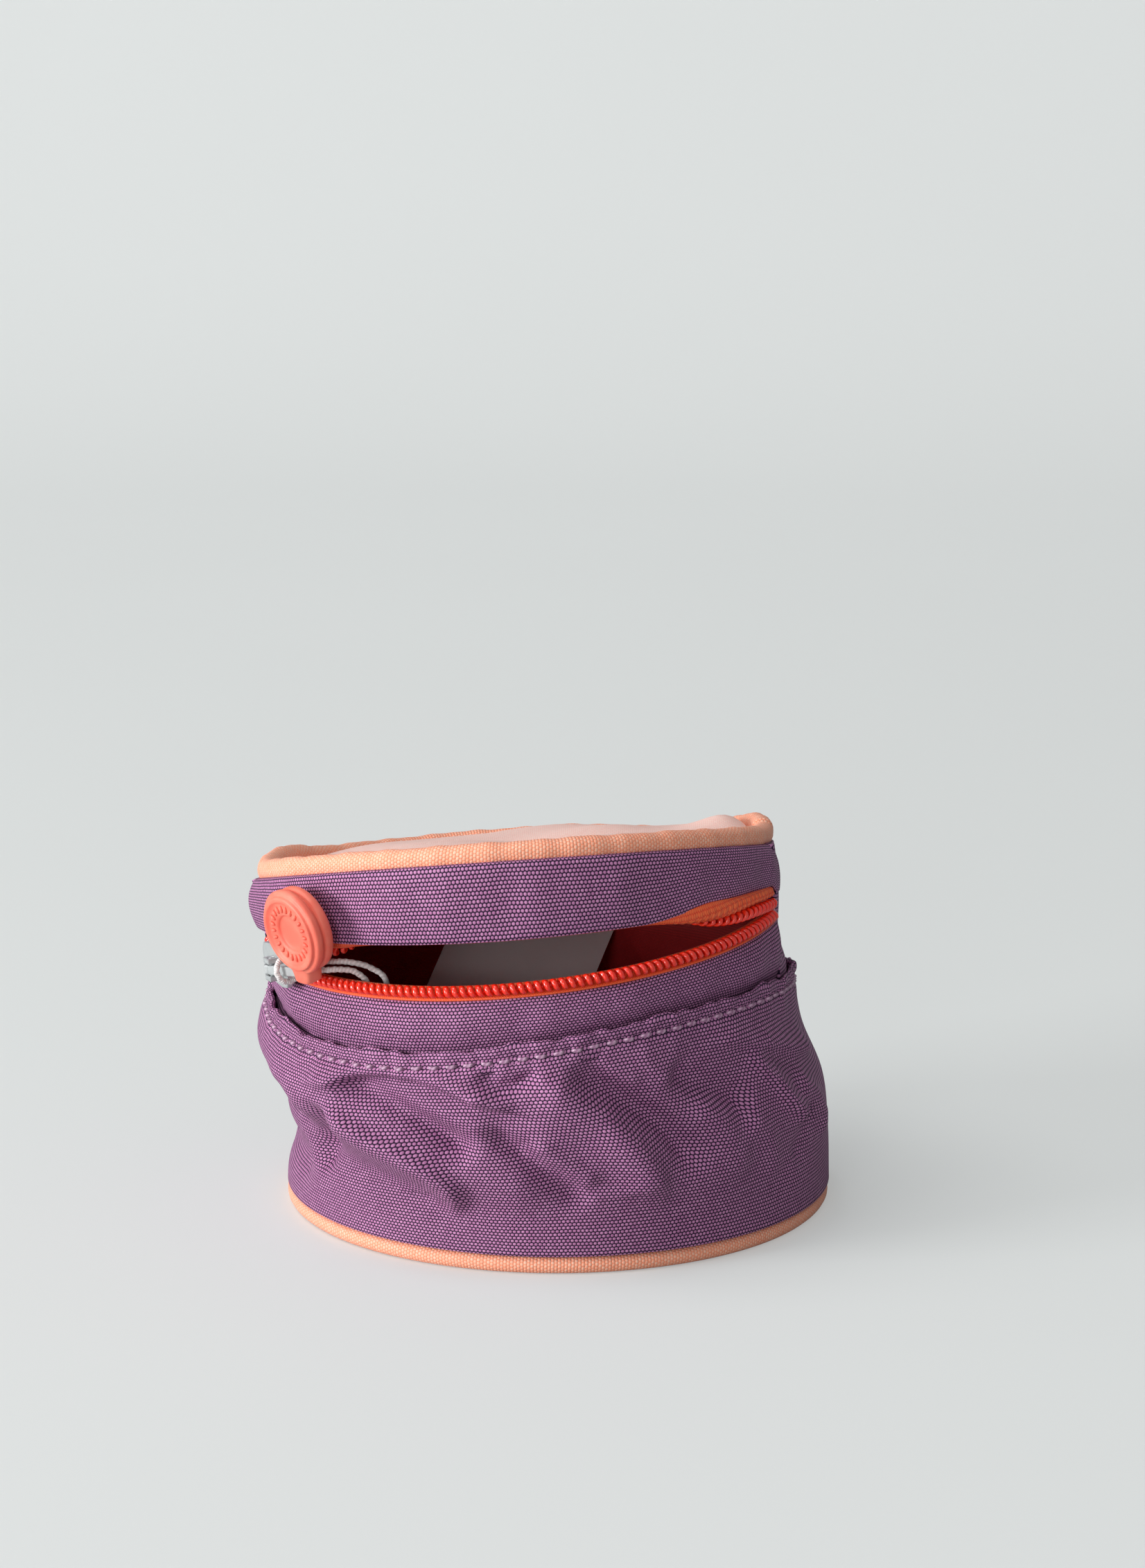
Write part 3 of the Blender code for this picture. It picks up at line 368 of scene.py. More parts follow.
def canvasWeaveGroup():
    # plain weave: rows of oval crowns, every other row set off by half a thread; the crown falls off with
    # the distance from its middle, and each crown has a tone of its own
    shape = weaveShape
    inputs = {"Place": None, "Thread Pitch": 0.0007, "Row Pitch": 0.00055, "Wander": 0.00015, "Fill": 1.0}
    tree, given, put = newGroup("canvasWeave", inputs, ["Crown", "Tone", "Height"])
    u, v, _ = split(tree, given["Place"])
    wander = calc(tree, "SUBTRACT", cloudy(tree, given["Place"], shape["wanderScale"]), 0.5)
    wander = calc(tree, "MULTIPLY", wander, given["Wander"])
    drift = calc(tree, "SUBTRACT", cloudy(tree, given["Place"], shape["driftScale"]), 0.5)
    wander = calc(tree, "MULTIPLY_ADD", drift, shape["drift"], wander)
    row = calc(tree, "DIVIDE", calc(tree, "ADD", v, wander), given["Row Pitch"])
    rowCount = calc(tree, "ROUND", row)
    shift = calc(tree, "MULTIPLY", calc(tree, "PINGPONG", rowCount, 1.0), 0.5)
    thread = calc(tree, "DIVIDE", calc(tree, "ADD", u, wander), given["Thread Pitch"])
    along = calc(tree, "ADD", thread, shift)
    count = calc(tree, "ROUND", along)
    across = calc(tree, "DIVIDE", calc(tree, "SUBTRACT", along, count), shape["halfWide"])
    upwards = calc(tree, "DIVIDE", calc(tree, "SUBTRACT", row, rowCount), shape["halfTall"])
    across = calc(tree, "POWER", calc(tree, "ABSOLUTE", across), shape["sideFall"])
    upwards = calc(tree, "POWER", calc(tree, "ABSOLUTE", upwards), shape["endFall"])
    reach = calc(tree, "DIVIDE", calc(tree, "ADD", across, upwards), given["Fill"])
    random = tree.nodes.new("ShaderNodeTexWhiteNoise")
    random.noise_dimensions = "2D"
    feed(tree, random.inputs["Vector"], joined(tree, count, rowCount))
    feed(tree, put["Crown"], fade(tree, reach, shape["foot"], shape["crest"]))
    feed(tree, put["Tone"], calc(tree, "MULTIPLY_ADD", random.outputs["Value"], 0.5, 0.25))
    feed(tree, put["Height"], calc(tree, "SUBTRACT", 1.0, calc(tree, "MINIMUM", reach, shape["deepest"])))
    return tree


wearShape = {"patchDetail": 3.0, "patch": (0.3, 0.7), "lintScale": 2600.0, "lintDetail": 1.0,
             "lint": (0.66, 0.8)}


def clothWearGroup():
    # slow light and dark patches, and a fine lint
    tree, given, put = newGroup("clothWear", {"Place": None, "Patch Size": 40.0}, ["Patch", "Lint"])
    place, shape = given["Place"], wearShape
    patches = cloudy(tree, place, given["Patch Size"], shape["patchDetail"])
    lint = cloudy(tree, place, shape["lintScale"], shape["lintDetail"])
    feed(tree, put["Patch"], fade(tree, patches, *shape["patch"]))
    feed(tree, put["Lint"], fade(tree, lint, *shape["lint"]))
    return tree


twistShape = {"fibreScale": 2400.0, "fibreAcross": 3.0, "fibreHeight": 0.3, "bump": 0.8}


def threadTwistGroup():
    # slanting plies: a wave of the way along the thread plus the way round it
    tree, given, put = newGroup("threadTwist", {"Place": None, "Ply Length": 0.0012, "Round": 0.003},
                                ["Ply", "Fibre"])
    u, v, _ = split(tree, given["Place"])
    plies = calc(tree, "DIVIDE", v, given["Ply Length"])
    phase = calc(tree, "ADD", plies, calc(tree, "DIVIDE", u, given["Round"]))
    wave = calc(tree, "SINE", calc(tree, "MULTIPLY", phase, fullTurn))
    feed(tree, put["Ply"], calc(tree, "MULTIPLY_ADD", wave, 0.5, 0.5))
    fibrePlace = joined(tree, calc(tree, "MULTIPLY", u, twistShape["fibreAcross"]), v)
    feed(tree, put["Fibre"], cloudy(tree, fibrePlace, twistShape["fibreScale"]))
    return tree


grainShape = {"markDetail": 3.0, "marked": (0.35, 0.75), "bump": 0.5}


def grainGroup():
    # a moulded or cast skin: fine grain, and slower cloudy marks
    inputs = {"Place": None, "Grain": 4000.0, "Marks": 300.0}
    tree, given, put = newGroup("fineGrain", inputs, ["Fine", "Mark"])
    feed(tree, put["Fine"], cloudy(tree, given["Place"], given["Grain"]))
    feed(tree, put["Mark"], cloudy(tree, given["Place"], given["Marks"], grainShape["markDetail"]))
    return tree


print("finishes")
canvasWeave = canvasWeaveGroup()
clothWear = clothWearGroup()
threadTwist = threadTwistGroup()
fineGrain = grainGroup()


def startFinish(name, settings):
    # a material with the constant numbers on the shader's own sockets
    made = bpy.data.materials.new(name)
    made.use_nodes = True
    tree = made.node_tree
    shader = tree.nodes["Principled BSDF"]
    for label, value in settings.items():
        shader.inputs[label].default_value = value
    return made, tree, shader


def addGroup(tree, group, settings):
    node = tree.nodes.new("ShaderNodeGroup")
    node.node_tree = group
    for label, value in settings.items():
        feed(tree, node.inputs[label], value)
    return node.outputs


def ownPlace(tree):
    node = tree.nodes.new("ShaderNodeUVMap")
    node.uv_map = "clothPlace"
    return node.outputs[0]


def objectPlace(tree):
    return tree.nodes.new("ShaderNodeTexCoord").outputs["Object"]


def bumpFrom(tree, shader, height, distance, strength, rounding=0.0):
    bump = tree.nodes.new("ShaderNodeBump")
    if rounding:
        edge = tree.nodes.new("ShaderNodeBevel")
        edge.inputs["Radius"].default_value = rounding
        feed(tree, bump.inputs["Normal"], edge.outputs[0])
    bump.inputs["Distance"].default_value = distance
    bump.inputs["Strength"].default_value = strength
    feed(tree, bump.inputs["Height"], height)
    feed(tree, shader.inputs["Normal"], bump.outputs[0])


canvasLook = {"thread": 0.00070, "row": 0.00056, "fill": 1.2, "bump": 0.5, "depth": 0.00018, "patch": 0.02,
              "patchSize": 45.0, "lint": 0.25, "gloss": -0.12}


def canvasFinish(name, own):
    # woven canvas: pale crowns of thread over dark gaps, each crown with a tone of its own
    look = {**canvasLook, **own}
    made, tree, shader = startFinish(name, look["shader"])
    place = ownPlace(tree)
    weave = addGroup(tree, canvasWeave, {
        "Place": place, "Thread Pitch": look["thread"], "Row Pitch": look["row"], "Fill": look["fill"]})
    wear = addGroup(tree, clothWear, {"Place": place, "Patch Size": look["patchSize"]})
    crown = blendColour(tree, weave["Tone"], look["crown"], look["crownLight"])
    colour = blendColour(tree, weave["Crown"], look["gap"], crown)
    colour = blendColour(tree, calc(tree, "MULTIPLY", wear["Patch"], look["patch"]), colour, look["gap"])
    colour = blendColour(tree, calc(tree, "MULTIPLY", wear["Lint"], look["lint"]), colour, look["crownLight"])
    feed(tree, shader.inputs["Base Color"], colour)
    rough = calc(tree, "MULTIPLY_ADD", weave["Crown"], look["gloss"], look["rough"])
    feed(tree, shader.inputs["Roughness"], rough)
    bumpFrom(tree, shader, weave["Height"], look["depth"], look["bump"])
    return made


purpleCanvas = canvasFinish("purpleCanvas", {
    "fill": 0.88, "crown": (0.44, 0.16, 0.345, 1), "crownLight": (0.68, 0.31, 0.56, 1),
    "gap": (0.020, 0.005, 0.029, 1), "patch": 0.06, "rough": 0.62,
    "shader": {"Sheen Weight": 0.03, "Sheen Roughness": 0.5, "Specular IOR Level": 0.2}})
peachCanvas = canvasFinish("peachCanvas", {
    "crown": (1.0, 0.39, 0.235, 1), "crownLight": (1.0, 0.62, 0.46, 1), "gap": (1.0, 0.29, 0.15, 1),
    "rough": 0.6, "shader": {"Sheen Weight": 0.08, "Sheen Roughness": 0.5, "Specular IOR Level": 0.3}})
# the peach canvas made paler and pinker for the lid's top: a painted reflection of the light it catches at a
# grazing angle
peachWithPaintedGlare = canvasFinish("peachWithPaintedGlare", {
    "crown": (1.0, 0.62, 0.54, 1), "crownLight": (1.0, 0.78, 0.70, 1), "gap": (1.0, 0.50, 0.41, 1),
    "bump": 0.3, "rough": 0.7,
    "shader": {"Sheen Weight": 0.15, "Sheen Roughness": 0.5, "Specular IOR Level": 0.3}})
redTape = canvasFinish("redTape", {
    "thread": 0.00045, "row": 0.00035, "crown": (1.0, 0.13, 0.035, 1), "crownLight": (1.0, 0.20, 0.06, 1),
    "gap": (0.80, 0.05, 0.015, 1), "bump": 0.35, "patch": 0.05, "rough": 0.5,
    "shader": {"Sheen Weight": 0.05, "Specular IOR Level": 0.4}})
redLining = canvasFinish("redLining", {
    "thread": 0.00032, "row": 0.00032, "crown": (0.66, 0.035, 0.04, 1), "crownLight": (0.78, 0.05, 0.05, 1),
    "gap": (0.42, 0.02, 0.024, 1), "bump": 0.2, "patch": 0.2, "rough": 0.5,
    "shader": {"Sheen Weight": 0.05, "Specular IOR Level": 0.35}})


def threadFinish(name, look):
    # twisted thread: light plies with darker grooves and dark fibres
    made, tree, shader = startFinish(name, look["shader"])
    twist = addGroup(tree, threadTwist, {
        "Place": ownPlace(tree), "Ply Length": look["ply"], "Round": look["round"]})
    colour = blendColour(tree, twist["Ply"], look["deep"], look["light"])
    colour = blendColour(tree, calc(tree, "MULTIPLY", twist["Fibre"], look["fibre"]), colour, look["deep"])
    feed(tree, shader.inputs["Base Color"], colour)
    height = calc(tree, "MULTIPLY_ADD", twist["Fibre"], twistShape["fibreHeight"], twist["Ply"])
    bumpFrom(tree, shader, height, look["depth"], twistShape["bump"])
    return made


lavenderThread = threadFinish("lavenderThread", {
    "ply": 0.0009, "round": 0.0017, "deep": (0.28, 0.12, 0.23, 1), "light": (0.66, 0.42, 0.58, 1),
    "fibre": 0.3, "depth": 0.00012,
    "shader": {"Roughness": 0.35, "Sheen Weight": 0.3, "Specular IOR Level": 0.5}})
cottonString = threadFinish("cottonString", {
    "ply": 0.0011, "round": 0.0034, "deep": (0.72, 0.68, 0.67, 1), "light": (0.95, 0.93, 0.92, 1),
    "fibre": 0.5, "depth": 0.0001,
    "shader": {"Roughness": 0.85, "Sheen Weight": 0.4, "Specular IOR Level": 0.2}})


def skinFinish(name, look):
    # a moulded or cast skin with fine grain in its roughness and bump, and slow marks in its colour
    made, tree, shader = startFinish(name, look["shader"])
    grain = addGroup(tree, fineGrain, {
        "Place": objectPlace(tree), "Grain": look["grain"], "Marks": look["marks"]})
    marks = fade(tree, grain["Mark"], *grainShape["marked"])
    colour = blendColour(tree, marks, look["colour"], look["marked"])
    feed(tree, shader.inputs["Base Color"], colour)
    rough = calc(tree, "MULTIPLY_ADD", grain["Fine"], look["roughSpread"], look["rough"])
    feed(tree, shader.inputs["Roughness"], rough)
    bumpFrom(tree, shader, grain["Fine"], look["depth"], grainShape["bump"], look.get("rounding", 0.0))
    return made


coralRubber = skinFinish("coralRubber", {
    "colour": (0.92, 0.17, 0.115, 1), "marked": (0.95, 0.24, 0.165, 1), "grain": 5200.0, "marks": 260.0,
    "rough": 0.38, "roughSpread": 0.2, "depth": 0.00002,
    "shader": {"Subsurface Weight": 0.15, "Subsurface Radius": (0.004, 0.001, 0.0008),
               "Subsurface Scale": 0.6, "Specular IOR Level": 0.4}})
satinZinc = skinFinish("satinZinc", {
    "colour": (0.62, 0.65, 0.65, 1), "marked": (0.54, 0.57, 0.575, 1), "grain": 3600.0, "marks": 500.0,
    "rough": 0.34, "roughSpread": 0.22, "depth": 0.00002, "rounding": 0.0004, "shader": {"Metallic": 0.6}})
coilNylon = skinFinish("coilNylon", {
    "colour": (1.0, 0.024, 0.008, 1), "marked": (1.0, 0.045, 0.015, 1), "grain": 2500.0, "marks": 120.0,
    "rough": 0.16, "roughSpread": 0.12, "depth": 0.00001,
    "shader": {"Subsurface Weight": 0.1, "Subsurface Radius": (0.002, 0.0003, 0.0002),
               "Subsurface Scale": 0.5, "Specular IOR Level": 0.5, "Coat Weight": 0.9,
               "Coat Roughness": 0.03}})
# pale card whose pink tint is partly its own and partly painted red light bounced from the lining
tagPaperWithPaintedBounce = skinFinish("tagPaperWithPaintedBounce", {
    "colour": (0.97, 0.90, 0.90, 1), "marked": (0.94, 0.86, 0.86, 1), "grain": 3000.0, "marks": 90.0,
    "rough": 0.6, "roughSpread": 0.2, "depth": 0.00002, "shader": {"Specular IOR Level": 0.35}})
greyBoard = skinFinish("greyBoard", {
    "colour": (0.60, 0.57, 0.51, 1), "marked": (0.50, 0.47, 0.42, 1), "grain": 1500.0, "marks": 300.0,
    "rough": 0.75, "roughSpread": 0.15, "depth": 0.00004, "shader": {"Specular IOR Level": 0.2}})


def dress(piece, finish, body=None, stands=()):
    # material, body and the solids that the piece stands for
    piece.data.materials.clear()
    piece.data.materials.append(finish)
    if body:
        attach(piece, body)
    if stands:
        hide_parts(*stands)
    return piece


def dressSolid(node, finish):
    # a solid of the frame that is seen as it is
    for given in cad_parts[node].material_slots:
        given.material = finish


# where the cloth runs, as the solids have it

def foldTop(angle):
    return pouch["foldHeight"] + pouch["foldRise"] * np.cos(angle) - pouch["foldTwist"] * np.sin(2 * angle)


# broad folds: places as angle and height share, then the width and the depth in millimetres
sagFolds = [
    ([(176.0, 0.27), (200.0, 0.24)], 5.0, -3.2), ([(212.0, 0.42), (246.0, 0.22)], 4.5, -1.6),
    ([(206.0, 0.70), (262.0, 0.34)], 5.0, 1.5), ([(262.0, 0.72), (306.0, 0.30)], 6.0, 1.3),
    ([(282.0, 0.62), (322.0, 0.22)], 5.0, -1.0)]

# finer folds of the slumped cloth: places, then the width on the left of the way along the fold, the width
# on its right, and the depth
clothFolds = [
    ([(224, 0.74), (228, 0.663), (231.5, 0.606), (235.5, 0.562), (240, 0.519), (243.5, 0.469), (247, 0.413),
      (249.5, 0.338), (250, 0.275), (248.5, 0.206), (247, 0.138)], 1.6, 4.6, 3.3),
    ([(226, 0.83), (233, 0.80), (239, 0.752), (244, 0.69), (248, 0.62), (252, 0.54), (255, 0.45)],
     3.2, 2.4, -4.2),
    ([(216, 0.79), (226.5, 0.831), (231, 0.888), (236.5, 0.915), (242, 0.92), (247.5, 0.905), (252.5, 0.875),
      (257.5, 0.825), (262.5, 0.781), (268, 0.72)], 2.2, 1.3, 2.4),
    ([(225.5, 0.781), (230.5, 0.838), (236, 0.869), (241.5, 0.875), (247, 0.856), (252, 0.812),
      (257, 0.763), (261.5, 0.719), (265.5, 0.694), (269.5, 0.669), (273, 0.631)], 0.8, 2.2, -2.0),
    ([(261, 0.93), (262.5, 0.86), (264.5, 0.825), (268, 0.82), (271, 0.85), (273, 0.89)], 1.2, 1.8, -2.6),
    ([(257, 0.79), (262, 0.79), (265, 0.77), (269, 0.79), (272.5, 0.85), (276, 0.856)], 1.0, 1.8, 1.7),
    ([(271, 0.88), (277, 0.794), (280.5, 0.713), (284, 0.638), (286, 0.55), (287.5, 0.475), (289.5, 0.375),
      (290.5, 0.281), (290, 0.18)], 2.0, 5.0, 3.5),
    ([(277, 0.88), (283, 0.794), (287.5, 0.713), (291.5, 0.625), (295.5, 0.519), (298.5, 0.40), (300, 0.288)],
     3.4, 2.4, -3.6),
    ([(259, 0.66), (264.5, 0.525), (268.5, 0.419), (273, 0.325), (277.5, 0.238)], 2.2, 2.4, -2.6),
    ([(267.5, 0.581), (270.5, 0.488), (274.5, 0.406), (279, 0.325)], 1.8, 2.8, 1.6),
    ([(222, 0.71), (221, 0.60), (215, 0.45), (212.5, 0.356), (212, 0.22)], 2.6, 2.4, -3.0),
    ([(168, 0.60), (188, 0.60), (203, 0.60), (214, 0.56)], 4.4, 5.0, -3.3),
    ([(300, 0.80), (305.5, 0.70), (311.5, 0.625), (318, 0.54)], 3.2, 2.8, -3.0),
    ([(352, 0.66), (337.5, 0.713), (326.5, 0.788), (317, 0.838), (308, 0.86)], 1.2, 2.4, 2.2),
    ([(320, 0.78), (326, 0.619), (328.5, 0.519), (335, 0.369)], 2.4, 1.3, 2.0),
    ([(314, 0.52), (319, 0.419), (321.5, 0.30), (323, 0.188)], 2.0, 3.0, 1.0),
    ([(303, 0.64), (308, 0.50), (311, 0.36), (311, 0.24)], 2.6, 3.0, 1.1),
    ([(326, 0.92), (327.5, 0.74), (326.5, 0.60)], 0.4, 0.4, 0.25),
    ([(293, 0.91), (297, 0.80), (301, 0.70)], 1.3, 1.3, 0.7),
    ([(284, 0.92), (289, 0.82), (294, 0.74)], 1.2, 1.2, 0.7),
    ([(333, 0.60), (340, 0.50), (345, 0.38), (344, 0.24)], 2.4, 2.4, 1.3),
    ([(338, 0.46), (334, 0.36), (328, 0.24)], 2.6, 2.0, -1.0),
    ([(20, 0.80), (40, 0.60), (52, 0.40)], 3.0, 2.4, 2.1),
    ([(70, 0.78), (95, 0.56), (120, 0.44)], 3.2, 2.6, -2.2),
    ([(130, 0.82), (146, 0.62), (160, 0.36)], 2.8, 2.2, 2.1),
    ([(8, 0.55), (30, 0.40), (60, 0.30)], 2.6, 2.6, -1.5),
    ([(100, 0.80), (118, 0.70), (140, 0.52)], 1.9, 2.4, 1.5),
    ([(160, 0.78), (168, 0.70), (176, 0.66)], 2.2, 2.2, 1.2),
    ([(55, 0.86), (66, 0.72), (84, 0.64)], 1.6, 2.4, 1.4),
    ([(24, 0.30), (44, 0.22), (70, 0.16)], 2.4, 2.0, 1.1)]
creaseShape = {"ends": 0.2, "crest": 0.45, "width": 0.8, "fall": 1.3, "turnOver": 0.5 * mm}


def alongFold(places, angle, share):
    # on the unrolled wall: the distance to the fold's line, the share of the way along it, and the side
    size = np.array([math.radians(1) * pouch["baseRadius"], pouch["foldHeight"]])
    line = np.array(places, float) * size
    offset = (np.degrees(angle) % 360 - places[0][0] + 180) % 360 - 180
    x, y = (offset + places[0][0]) * size[0], share * size[1]
    steps = np.linalg.norm(np.diff(line, axis=0), axis=1)
    nearest = np.full(share.shape, 1.0)
    way, side = np.zeros(share.shape), np.zeros(share.shape)
    before = 0.0
    for start, end, step in zip(line[:-1], line[1:], steps):
        run = end - start
        dx, dy = x - start[0], y - start[1]
        t = np.clip((dx * run[0] + dy * run[1]) / (run @ run), 0, 1)
        away = np.hypot(dx - t * run[0], dy - t * run[1])
        nearer = away < nearest
        nearest = np.where(nearer, away, nearest)
        way = np.where(nearer, (before + t * step) / steps.sum(), way)
        cross = (run[0] * dy - run[1] * dx) / step
        side = np.where(nearer, np.tanh(cross / creaseShape["turnOver"]), side)
        before += step
    return nearest, way, side


def sagged(angle, share):
    # each broad fold stands out by its depth, falling off evenly from its line
    reach = np.zeros(share.shape)
    for places, width, depth in sagFolds:
        reach += depth * mm * bell(alongFold(places, angle, share)[0], width * mm)
    return reach


def creased(angle, share):
    # each fine fold stands out by its depth, with a rounded crest, a slope for each side and fading ends
    reach = np.zeros(share.shape)
    for places, left, right, depth in clothFolds:
        nearest, way, side = alongFold(places, angle, share)
        width = (left * (0.5 + 0.5 * side) + right * (0.5 - 0.5 * side)) * mm
        crest = creaseShape["crest"] * width
        slope = (np.sqrt(nearest ** 2 + crest ** 2) - crest) / (creaseShape["width"] * width)
        ends = ease(np.minimum(way, 1 - way) / creaseShape["ends"])
        reach += depth * mm * np.exp(-slope ** creaseShape["fall"]) * ends
    return reach


def wallPoint(angle, share, inset, fine=False):
    # round the base's middle, drifting left and swelling with height, less the inset
    share = np.broadcast_to(np.asarray(share, float), np.broadcast(angle, share).shape)
    height = pouch["bottom"] + share * (foldTop(angle) - pouch["bottom"])
    reach = sagged(angle, share) + (creased(angle, share) if fine else 0.0)
    reach = reach * np.sin(math.pi * np.clip(share, 0, 1)) ** 0.5
    radius = pouch["baseRadius"] + between(pouch["swell"], share) + reach - inset
    return stack(between(pouch["centres"], share) + radius * np.cos(angle), radius * np.sin(angle), height)


zipNormal = unit([-0.10, -0.03, 1.0])
zipSide = unit([1.0, 0.0, 0.10])
zipBack = np.cross(zipNormal, zipSide)


def zipRay(angle):
    angle = np.asarray(angle, float)[..., None]
    return np.cos(angle) * zipSide + np.sin(angle) * zipBack


def zipPoint(angle, across, outwards):
    # a turn round the zip's ring, then up across the tape, and outwards from the ring
    across = np.asarray(across, float)[..., None]
    outwards = np.asarray(outwards, float)[..., None]
    return zipLine["centre"] + (zipLine["radius"] + outwards) * zipRay(angle) + across * zipNormal


def rimPoint(degrees):
    turn = math.radians(degrees)
    return np.array([lid["centre"] + lid["radius"] * math.cos(turn), lid["radius"] * math.sin(turn)])


creaseLeft, creaseRight = rimPoint(lid["seamLeft"]), rimPoint(lid["seamRight"])
creaseWay = unit(creaseRight - creaseLeft)


def behindCrease(x, y):
    return -(x - creaseLeft[0]) * creaseWay[1] + (y - creaseLeft[1]) * creaseWay[0]


def lidPlane(x, y, soft=0.0):
    # rises to the right; the front half climbs forward, the back half hangs, with a soft bend between
    along = (x - lid["centre"]) * creaseWay[0] + (y - creaseLeft[1]) * creaseWay[1]
    back = behindCrease(x, y)
    mean, half = (lid["tilt"] + lid["drop"]) / 2, (lid["tilt"] - lid["drop"]) / 2
    return lid["height"] + lid["rise"] * along - mean * back + half * np.sqrt(back * back + soft * soft)


def lidRing(angle, inset, rise, soft=0.0):
    x = lid["centre"] + (lid["radius"] - inset) * np.cos(angle)
    y = (lid["radius"] - inset) * np.sin(angle)
    return stack(x, y, lidPlane(x, y, soft) + rise)


hingeAxis = unit([-creaseWay[0], -creaseWay[1], -lid["rise"]])
hingeFlat = (creaseLeft + creaseRight) / 2
hingeHeight = float(lidPlane(*hingeFlat)) + lid["pipingHeight"] + lid["pipingRadius"]
hingeMiddle = np.array([*hingeFlat, hingeHeight])


def lifted(points):
    # points of the closed lid turned about the crease
    turn = math.radians(lid["lift"])
    way = np.asarray(points) - hingeMiddle
    along = (way @ hingeAxis)[..., None] * hingeAxis
    return hingeMiddle + along + (way - along) * math.cos(turn) + np.cross(hingeAxis, way) * math.sin(turn)


def bendAtHinge(piece):
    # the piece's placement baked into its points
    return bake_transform(piece)


def gussetPoint(angle, share, inset):
    # straight from the zip's lower edge, share 0, to the stitched fold, share 1
    top = zipPoint(angle, -zipLine["bandEdge"], -zipLine["bandFace"] - inset)
    foot = wallPoint(angle, 1.0, wallInside + inset)
    return top + (foot - top) * share


chainPath = {"rise": 14.0, "wait": 13.0, "leave": 18.0}


def chainShift(angle):
    # the lid's half of the chain follows the lower half to the slider, parts in it, then runs with the lid
    closed = zipPoint(angle, 0.0, 0.0)
    shift = lifted(closed) - closed
    up = (shift @ zipNormal)[..., None] * zipNormal
    tail = zipLine["slider"] - math.degrees(zipLine["sliderLength"] / 2 / zipLine["radius"])
    past = np.degrees(angle)[..., None] - tail
    leaving = ease((past - chainPath["wait"]) / chainPath["leave"])
    return up * ease(past / chainPath["rise"]) + (shift - up) * leaving


# the free string first, then everything that it passes

print("string and tag")
pull = {"sliderRise": 0.5 * mm, "pinAlong": 2.5 * mm, "plateGap": 0.5 * mm, "plate": 1.0 * mm,
        "pinHeight": 1.6 * mm, "gripAngle": 222.0, "gripOut": 4.9 * mm, "gripUp": 9.6 * mm, "lean": 7.0,
        "turned": -3.0, "neck": 7.6 * mm}
pinOut = zipLine["thickness"] / 2 + pull["plateGap"] + pull["plate"] + pull["pinHeight"]


def inFrame(place, points):
    # from a frame of middle and three ways to the row's own places, in the shape that was given
    middle, first, second, third = place
    points = np.asarray(points, float)
    return middle + points[..., :1] * first + points[..., 1:2] * second + points[..., 2:3] * third


sliderAngle = math.radians(zipLine["slider"])
sliderOut = zipRay(sliderAngle)
sliderFrame = (zipPoint(sliderAngle, 0.0, 0.0), np.cross(zipNormal, sliderOut), zipNormal, sliderOut)
gripAngle = math.radians(pull["gripAngle"])
gripRay = zipRay(gripAngle)
leanBy, turnedBy = math.radians(pull["lean"]), math.radians(pull["turned"])
gripUpWay = zipNormal * math.cos(leanBy) + gripRay * math.sin(leanBy)
gripFace = gripRay * math.cos(leanBy) - zipNormal * math.sin(leanBy)
gripFace = gripFace * math.cos(turnedBy) + np.cross(gripUpWay, gripFace) * math.sin(turnedBy)
gripCentre = zipPoint(gripAngle, pull["gripUp"], pull["gripOut"])
gripFrame = (gripCentre, np.cross(gripUpWay, gripFace), gripUpWay, gripFace)
pinPlace = inFrame(sliderFrame, [pull["pinAlong"], pull["sliderRise"], pinOut])
neckFoot = inFrame(gripFrame, [0.0, -pull["neck"], 0.0])
stemCrank = float((neckFoot - pinPlace) @ zipNormal)
stemFlat = (neckFoot - pinPlace) - zipNormal * stemCrank
stemLength = float(np.linalg.norm(stemFlat))
stemWay = stemFlat / stemLength
linkFrame = (pinPlace, stemWay, zipNormal, np.cross(stemWay, zipNormal))

card = {"up": unit([0.35, 0.62, 0.70]), "side": unit([0.894, 0.0, -0.447]),
        "foot": np.array([-19.4, 8.2, 10.2]) * mm, "hole": 5.0 * mm, "half": 0.25 * mm}
cardSide = acrossOf(card["side"], card["up"])
cardMiddle = card["foot"] + card["hole"] * card["up"]
cardFrame = (cardMiddle, cardSide, card["up"], np.cross(cardSide, card["up"]))

# the string's route, in millimetres: on the card, inside, over the rim, round the stem and back
route = {
    "cardIn": [(-0.7, 0.0, -0.7), (-0.7, 0.0, 0.6), (-0.8, -0.4, 2.4)],
    "insideIn": [(-18.8, 4.0, 9.6), (-20.2, -1.5, 5.3), (-23.6, -9.0, 4.7), (-28.2, -16.0, 5.6),
                 (-31.0, -20.6, 14.0), (-32.6, -25.0, 28.0), (-32.8, -28.6, 39.0)],
    "rimIn": [(229.5, -2.4, -4.2), (228.0, 0.6, -2.7), (225.0, 1.3, -1.1), (222.0, 1.2, 0.1),
              (219.0, 1.2, 0.9)],
    "stem": [(6.0, -0.4, -2.1), (5.6, -1.6, -1.5), (5.3, -2.1, 0.0), (5.1, -1.5, 1.5), (4.9, 0.0, 2.1),
             (4.7, 1.5, 1.5), (4.6, 2.1, 0.0), (4.9, 1.8, -1.5)],
    "rimOut": [(216.8, 2.15, 1.5), (219.5, 2.3, 0.0), (222.5, 2.4, -1.3), (226.0, 2.2, -2.9),
               (230.0, 1.0, -4.8), (233.0, -1.8, -6.0)],
    "insideOut": [(-29.6, -28.6, 38.0), (-29.6, -25.0, 27.0), (-28.4, -21.0, 14.0), (-26.2, -17.0, 6.4),
                  (-22.4, -10.4, 4.7), (-18.4, -3.0, 5.0), (-16.6, 3.4, 9.6)],
    "cardOut": [(0.8, -0.4, 2.4), (0.7, 0.0, 0.6), (0.7, 0.0, -0.7)]}
stretches = {name: np.array(points) * mm for name, points in route.items()}


